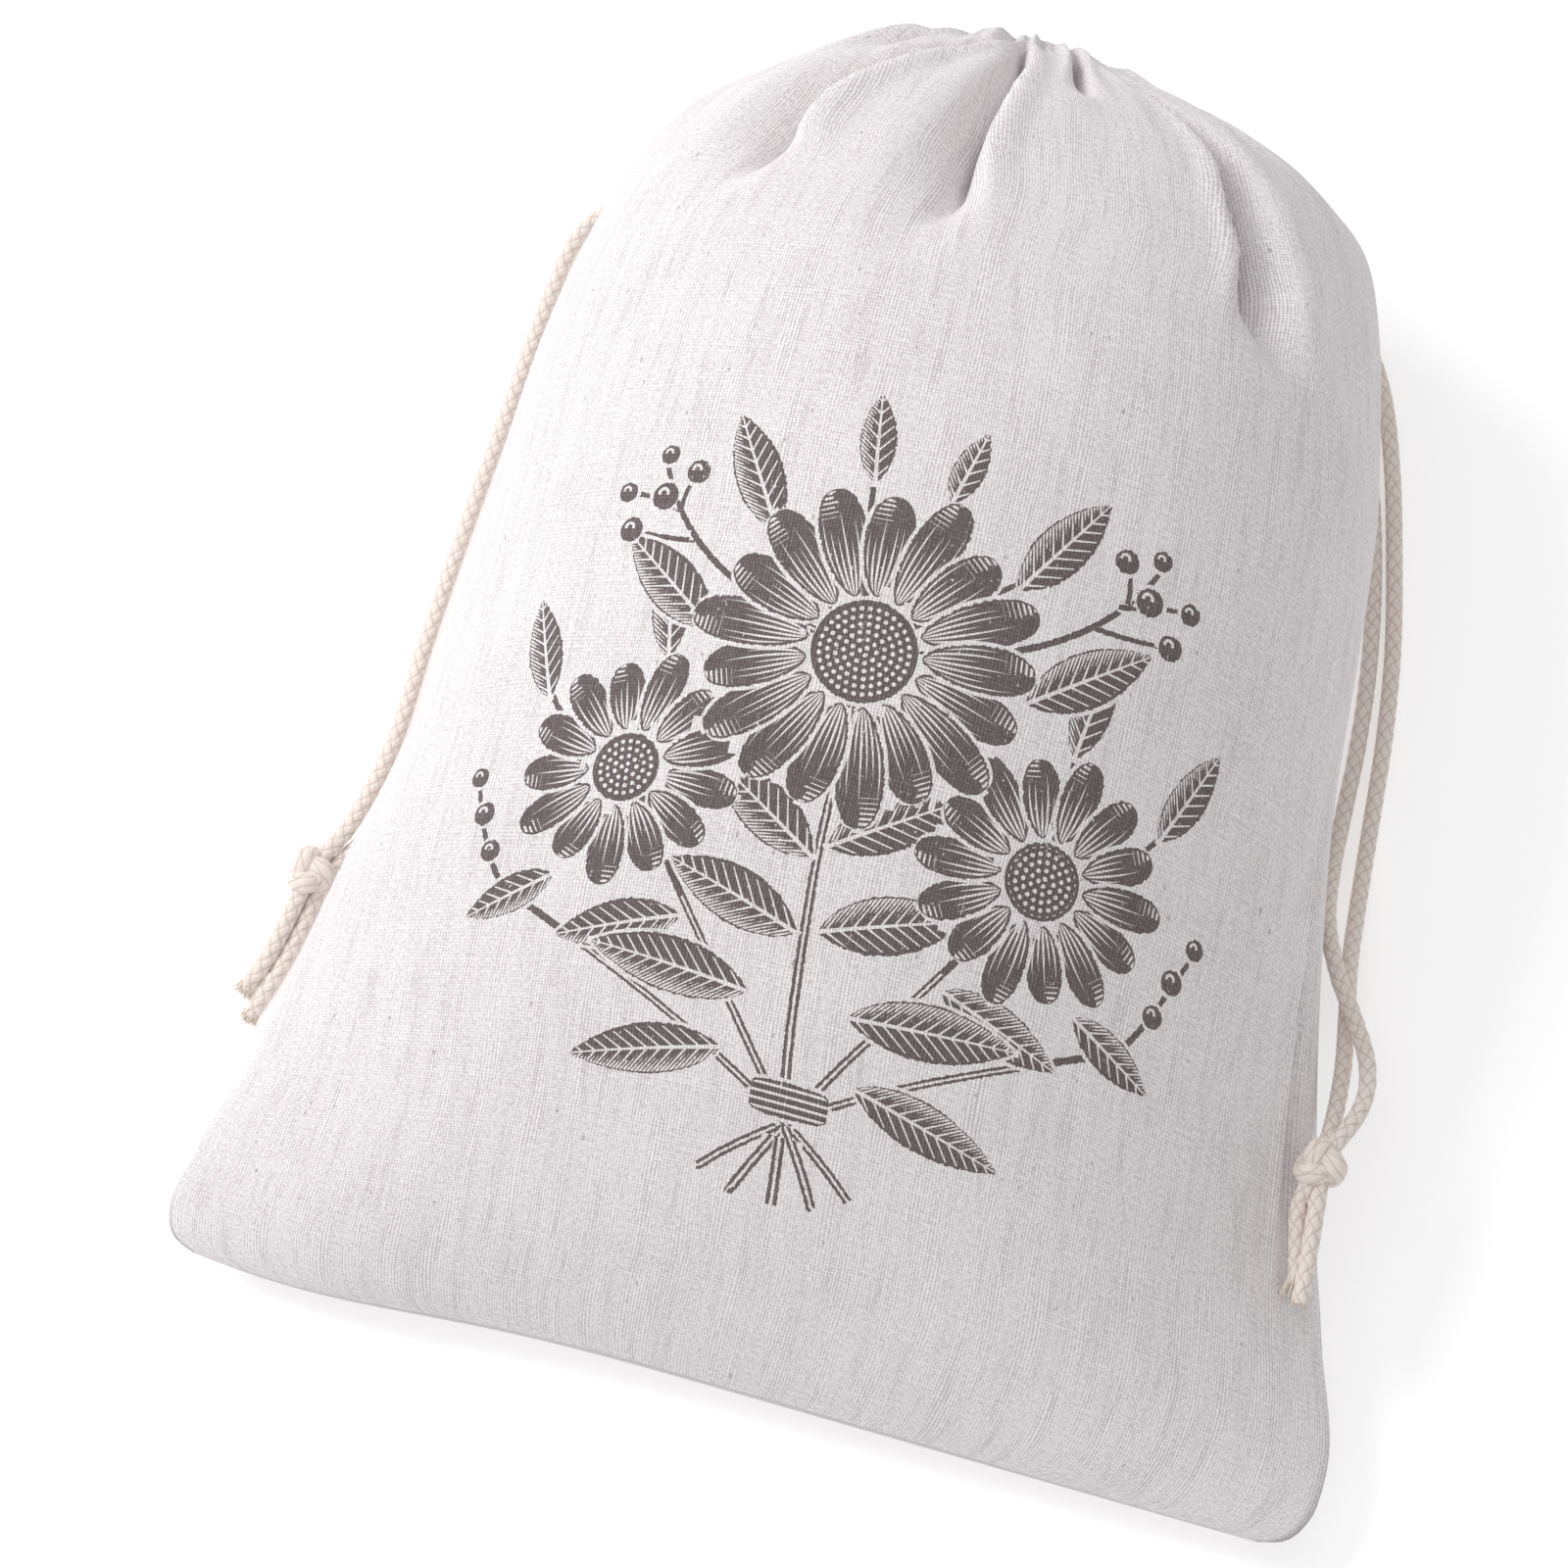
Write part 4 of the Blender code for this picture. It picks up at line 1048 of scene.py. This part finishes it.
def motifGroup():
    # ink of one drawn shape: a leaf, petal, berry, seed head or binding
    c = carving
    inputs = [(name, "NodeSocketVector", None) for name in ("Place", "Form", "Shape")]
    inputs += [(name, "NodeSocketFloat", 0.5) for name in ("Rough", "Grain")]
    group, s, given, out = newGroup("printedShape", inputs, ("Ink", "Cover"))
    a, b, kind = s.split(given["Place"])
    long, half, seed = s.split(given["Form"])
    p, q, peak = s.split(given["Shape"])
    inside = s.smaller(s.larger(a, 0.0), 1.0)
    profile = inside ** p * (1.0 - inside) ** q * peak
    off = abs(b)
    # way in from the outline, in mm
    room = (profile - off) * half
    inked = (room + s.centred(given["Rough"], c["wobble"]) > 0.0) * ((a > 0.0) * (a < 1.0))
    along, across = a * long, b * half
    offMm = abs(across)
    rag = s.centred(given["Rough"], c["rag"])
    # leaf: light midrib and side veins, with cut lines on its upper half
    rib = offMm < s.scaled(1.0 - inside, c["ribTaper"], c["ribTip"])
    slanted = along - offMm * c["lean"]
    veinLine = s.fold(slanted / c["veinPitch"]) * c["veinPitch"]
    veinWidth = c["veinWidth"] - off * c["veinTaper"]
    vein = (veinLine < veinWidth) * (off < profile * c["veinEnd"])
    share = off / s.larger(profile, c["leastProfile"])
    cutWidth = s.step(share + rag, *c["cutRange"]) * c["cutWidth"]
    cut = (s.fold(slanted / c["cutPitch"]) < cutWidth) * (b > 0.0) * (share < c["cutEnd"])
    leafLight = s.larger(s.larger(rib, vein), cut)
    # petal: light strokes that run out from the core, and cut lines at the tip
    strokePhase = across / s.scaled(profile, c["strokeSpread"], c["strokeFoot"])
    sway = s.sine(s.scaled(s.math("ROUND", strokePhase), c["swayRate"], seed * c["swaySeed"]))
    strokeLong = s.scaled(sway, c["strokeSway"], c["strokeLength"])
    strokeWidth = s.step(inside, strokeLong, c["strokeStart"]) * c["strokeWidth"]
    stroke = (s.fold(strokePhase + 0.5) < strokeWidth) * (room > c["strokeRim"])
    tipWidth = s.step(inside, *c["tipRange"]) * c["tipWidth"]
    tipPlace = (b + rag > c["tipSide"]) * (room > c["tipRim"])
    tipCut = (s.fold(along / c["tipPitch"]) < tipWidth) * tipPlace
    petalLight = s.larger(stroke, tipCut)
    # berry: a small light curve
    shine = s.away(along - long * c["shineAlong"], across - half * c["shineAcross"])
    berryLight = s.math("COMPARE", shine / half, c["shineRadius"], c["shineWidth"])
    berryLight = berryLight * (across > half * c["shineWidth"])
    # seed head: rings of light seeds, closer towards the middle
    fromMiddle = a * 2.0 - 1.0
    radial = s.away(fromMiddle, b)
    rings = radial * half / c["seedPitch"]
    ringNumber = s.floor(rings)
    seedCount = s.scaled(ringNumber, c["seedsMore"], c["seedsFirst"])
    turn = s.math("ARCTAN2", b, fromMiddle) / (2.0 * math.pi)
    seedPlace = s.fraction(s.scaled(turn, seedCount, ringNumber * c["seedTurn"]))
    seedAway = s.away(s.fraction(rings) - 0.5, seedPlace - 0.5)
    seedSize = s.scaled(given["Rough"], c["seedRag"], c["seedSize"])
    headLight = (seedAway < seedSize) * (radial < c["seedEdge"])
    # binding: cords across the stems
    bandLight = (s.fold(across / c["bandPitch"]) < c["bandWidth"]) * (room > c["bandRim"])
    light = leafLight * s.math("COMPARE", kind, 0.0, c["kindWidth"])
    for number, value in enumerate((petalLight, berryLight, headLight, bandLight), 1):
        light = light + value * s.math("COMPARE", kind, float(number), c["kindWidth"])
    # ink thins out a little inside the shapes
    ink = inked * (1.0 - s.smaller(light, 1.0))
    s.put(out["Ink"], ink * s.scaled(given["Grain"] > c["dryFrom"], c["dryLoss"], 1.0))
    margin = printed["margin"]
    within = (along > -margin) * ((a - 1.0) * long < margin)
    s.put(out["Cover"], (room > -margin) * within)
    return group


weaveNodes, motifNodes = weaveGroup(), motifGroup()

clothFinish = {
    "low": (0.57, 0.528, 0.54), "high": (0.90, 0.866, 0.874), "range": (-0.25, 1.15),
    "mottle": 0.20, "mottleScale": 42.0,
    "fleck": (0.30, 0.27, 0.26), "fleckRange": (0.825, 0.86), "fleckStrength": 0.60,
    "flecks": (640.0, 330.0, 7.0), "inkEdge": (900.0, 900.0, 1.0),
    "ink": (0.098, 0.074, 0.076), "inkHigh": (0.20, 0.165, 0.165), "inkRange": (0.25, 1.5),
    "inkStrength": 0.97, "stemRag": 0.7, "stemCore": 0.72, "solidStem": 0.85, "stemEnds": (0.004, 0.996),
    "grainSpeckle": 0.75, "grainSlub": (0.1, 0.12), "slubHeight": 0.5, "roughRange": (0.10, 0.88),
    "roughness": 0.94, "bump": 0.55, "bumpDistance": 0.00016, "sheen": 0.12,
}
cordFinish = {
    "low": (0.56, 0.455, 0.39), "high": (0.86, 0.785, 0.73), "range": (-0.2, 1.1),
    "yarn": (1300.0, 900.0, 0.0), "yarnRoughness": 0.6, "plies": 6.0, "plySway": 5.0,
    "ridgeShade": 0.62, "yarnTone": 0.9, "plyShade": 0.1,
    "plyHeight": 0.12, "ridgeHeight": 0.7, "yarnHeight": 0.5, "roughRange": (0.12, 0.84),
    "roughness": 0.9, "bump": 0.7, "bumpDistance": 0.00025, "sheen": 0.15,
}
yarnFinish = {
    "low": (0.66, 0.57, 0.47), "high": (0.88, 0.82, 0.74), "range": (0.3, 0.7), "scale": 900.0,
    "roughRange": (0.1, 0.85), "roughness": 0.9,
}


def newMaterial(name, roughness, sheen=0.0):
    material = bpy.data.materials.new(name)
    material.use_nodes = True
    shader = material.node_tree.nodes["Principled BSDF"]
    shader.inputs["Roughness"].default_value = roughness
    shader.inputs["Specular IOR Level"].default_value = 0.18
    if sheen:
        shader.inputs["Sheen Weight"].default_value = sheen
        shader.inputs["Sheen Roughness"].default_value = 0.6
    return material, NodeSketch(material.node_tree), shader


def clothMaterial():
    look = clothFinish
    material, s, shader = newMaterial("printedCotton", look["roughness"], look["sheen"])
    cloth = s.wire("ShaderNodeUVMap", uv_map="clothFlat")
    yarn = useGroup(s, weaveNodes, Cloth=cloth)
    x, y = s.split(cloth)[:2]
    # the weave's tone carries its painted shade in the low yarns and gaps; the mottle is the cloth's own
    # uneven tone
    tone = yarn["Tone"] + s.centred(s.noise(cloth, look["mottleScale"], 0.0), look["mottle"])
    colour = s.blend(s.step(tone, *look["range"]), look["low"], look["high"])
    # a few dark bits of husk spun into the yarn
    bits = s.step(s.stretched(x, y, look["flecks"], 0.0), *look["fleckRange"])
    colour = s.blend(bits * look["fleckStrength"], colour, look["fleck"])
    rough = s.stretched(x, y, look["inkEdge"], 1.0)
    grain = yarn["Speckle"] * look["grainSpeckle"] + s.scaled(yarn["Slub"], *look["grainSlub"])
    shapes = []
    for layer in "AB":
        place, form, shape = [s.attribute(name + layer) for name in ("place", "form", "shape")]
        shapes.append(useGroup(s, motifNodes, Place=place, Form=form, Shape=shape, Rough=rough, Grain=grain))
    # stems: a light core between two dark lines where they are thick
    away, along, half = s.split(s.attribute("stem"))
    away = abs(away) - half
    rag = s.centred(rough, look["stemRag"])
    foot, tip = look["stemEnds"]
    stem = (along > foot) * (along < tip) * (away + rag < 0.0)
    core = (away + half * look["stemCore"]) < rag
    stem = stem * (1.0 - core * (half > look["solidStem"]))
    for shape in shapes:
        stem = stem * (1.0 - shape["Cover"])
    under = shapes[1]["Ink"] * (1.0 - shapes[0]["Cover"])
    ink = s.larger(s.larger(shapes[0]["Ink"], under), stem)
    # the ink sits on the high yarns and misses some of the low ones; its colour follows the weave's tone, so
    # it takes the same painted shade in the low yarns
    inkColour = s.blend(s.step(yarn["Tone"], *look["inkRange"]), look["ink"], look["inkHigh"])
    s.put(shader.inputs["Base Color"], s.blend(ink * look["inkStrength"], colour, inkColour))
    height = yarn["Height"] + yarn["Slub"] * look["slubHeight"]
    s.put(shader.inputs["Normal"], s.bump(height, look["bump"], look["bumpDistance"]))
    s.put(shader.inputs["Roughness"], s.scaled(yarn["Speckle"], *look["roughRange"]))
    return material


def cordMaterial():
    look = cordFinish
    material, s, shader = newMaterial("braidedCotton", look["roughness"], look["sheen"])
    around, along = s.split(s.wire("ShaderNodeUVMap", uv_map="cordFlat"))[:2]
    # fine strands that follow the two ways of the braid
    turn = around * (cord["strands"] / (math.pi * cord["diameter"] * mm))
    run = along * (2.0 / (cord["pitch"] * mm))
    one, two = turn + run, turn - run
    other = abs(s.math("MODULO", s.floor(one) + s.floor(two), 2.0))
    shown = s.fraction(one) * (1.0 - other) + s.fraction(two) * other
    ridge = s.sine(shown * math.pi)
    yarn = s.stretched(around, along, look["yarn"], 2.0, look["yarnRoughness"])
    ply = s.sine(shown * (look["plies"] * math.pi) + yarn * look["plySway"])
    # painted shade: the braid is darker in the valleys between its crossing strands and plies, lighter on
    # their crowns; the yarn noise is the cord's own uneven tone
    tone = s.step(ridge, 0.0, look["ridgeShade"]) + s.centred(yarn, look["yarnTone"])
    tone = tone + ply * look["plyShade"]
    s.put(shader.inputs["Base Color"], s.blend(s.step(tone, *look["range"]), look["low"], look["high"]))
    height = s.scaled(ply, look["plyHeight"], ridge * look["ridgeHeight"]) + yarn * look["yarnHeight"]
    s.put(shader.inputs["Normal"], s.bump(height, look["bump"], look["bumpDistance"]))
    s.put(shader.inputs["Roughness"], s.scaled(yarn, *look["roughRange"]))
    return material


def fibreMaterial():
    look = yarnFinish
    material, s, shader = newMaterial("looseYarn", look["roughness"])
    tone = s.noise(s.wire("ShaderNodeTexCoord", "Object"), look["scale"], 2.0, 0.6)
    s.put(shader.inputs["Base Color"], s.blend(s.step(tone, *look["range"]), look["low"], look["high"]))
    s.put(shader.inputs["Roughness"], s.scaled(tone, *look["roughRange"]))
    return material


bagObject.data.materials.append(clothMaterial())
braid = cordMaterial()
yarnEnds = fibreMaterial()
for piece in (*cordPieces.values(), *knotPieces.values()):
    piece.data.materials.append(braid)
for piece in frayPieces.values():
    piece.data.materials.append(yarnEnds)
print("materials")

# what stands for what
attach(bagObject, "root")
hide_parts("bag_body")
standsFor = {
    "leftOuter": ("cord_left_a", "tail_left_a"), "leftInner": ("cord_left_b", "tail_left_b"),
    "rightOuter": ("cord_right_a", "tail_right_a"), "rightInner": ("cord_right_b", "tail_right_b"),
}
knotNodes = {"left": "knot_left", "right": "knot_right"}
for side, piece in knotPieces.items():
    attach(piece, "root")
    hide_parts(knotNodes[side])
for name, piece in cordPieces.items():
    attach(piece, "root")
    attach(frayPieces[name], "root")
    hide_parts(*standsFor[name])

# floor, light and camera
stage = {
    "floor": 6.0, "floorColour": (0.937, 0.937, 0.942), "floorGlow": 0.29, "floorRoughness": 0.9,
    "world": 0.52,
    "lights": (
        # name, place, size, power
        ("softKey", (-1.25, 0.35, 1.05), 0.8, 15.2), ("topFill", (-0.2, 0.2, 2.0), 1.6, 6.0),
        ("frontFill", (-0.6, -1.7, 0.9), 1.2, 3.0), ("rightFill", (1.3, -0.2, 0.8), 1.0, 0.5),
    ),
    # the camera, fitted to the outline
    "aim": (-0.01954, -0.02634, 0.05), "azimuth": 17.954, "elevation": 69.85, "roll": -4.677,
    "distance": 1.193, "lens": 109.42, "sensor": 36.0,
}
bpy.ops.object.select_all(action="DESELECT")
bpy.ops.mesh.primitive_plane_add(size=stage["floor"], location=(0.0, 0.0, 0.0))
floor = bpy.context.object
floor.name = "paleFloor"
floorMaterial, _, floorShader = newMaterial("paleFloor", stage["floorRoughness"])
floorShader.inputs["Base Color"].default_value = (*stage["floorColour"], 1.0)
floorShader.inputs["Emission Color"].default_value = (1.0, 1.0, 1.0, 1.0)
floorShader.inputs["Emission Strength"].default_value = stage["floorGlow"]
floor.data.materials.append(floorMaterial)

world = bpy.data.worlds.new("softRoom")
world.use_nodes = True
world.node_tree.nodes["Background"].inputs["Color"].default_value = (1.0, 1.0, 1.0, 1.0)
world.node_tree.nodes["Background"].inputs["Strength"].default_value = stage["world"]
bpy.context.scene.world = world
for name, place, size, power in stage["lights"]:
    light = bpy.data.lights.new(name, "AREA")
    light.size = size
    light.energy = power
    lamp = bpy.data.objects.new(name, light)
    lamp.location = place
    aim = Vector((0.0, 0.0, stage["aim"][2])) - Vector(place)
    lamp.rotation_euler = aim.to_track_quat("-Z", "Y").to_euler()
    bpy.context.collection.objects.link(lamp)

azimuth, elevation, roll = [math.radians(stage[k]) for k in ("azimuth", "elevation", "roll")]
level = math.cos(elevation)
back = Vector((level * math.sin(azimuth), -level * math.cos(azimuth), math.sin(elevation)))
right = Vector((math.cos(azimuth), math.sin(azimuth), 0.0))
up = back.cross(right)
across = math.cos(roll) * right + math.sin(roll) * up
upright = -math.sin(roll) * right + math.cos(roll) * up
view = bpy.data.cameras.new("photoView")
view.lens = stage["lens"]
view.sensor_width = stage["sensor"]
camera = bpy.data.objects.new("photoView", view)
turned = Matrix((across, upright, back)).transposed().to_4x4()
camera.matrix_world = Matrix.Translation(Vector(stage["aim"]) + back * stage["distance"]) @ turned
bpy.context.collection.objects.link(camera)
bpy.context.scene.camera = camera
bpy.context.scene.view_settings.view_transform = "Standard"
bpy.context.scene.view_settings.look = "None"
print("floor, light and camera")
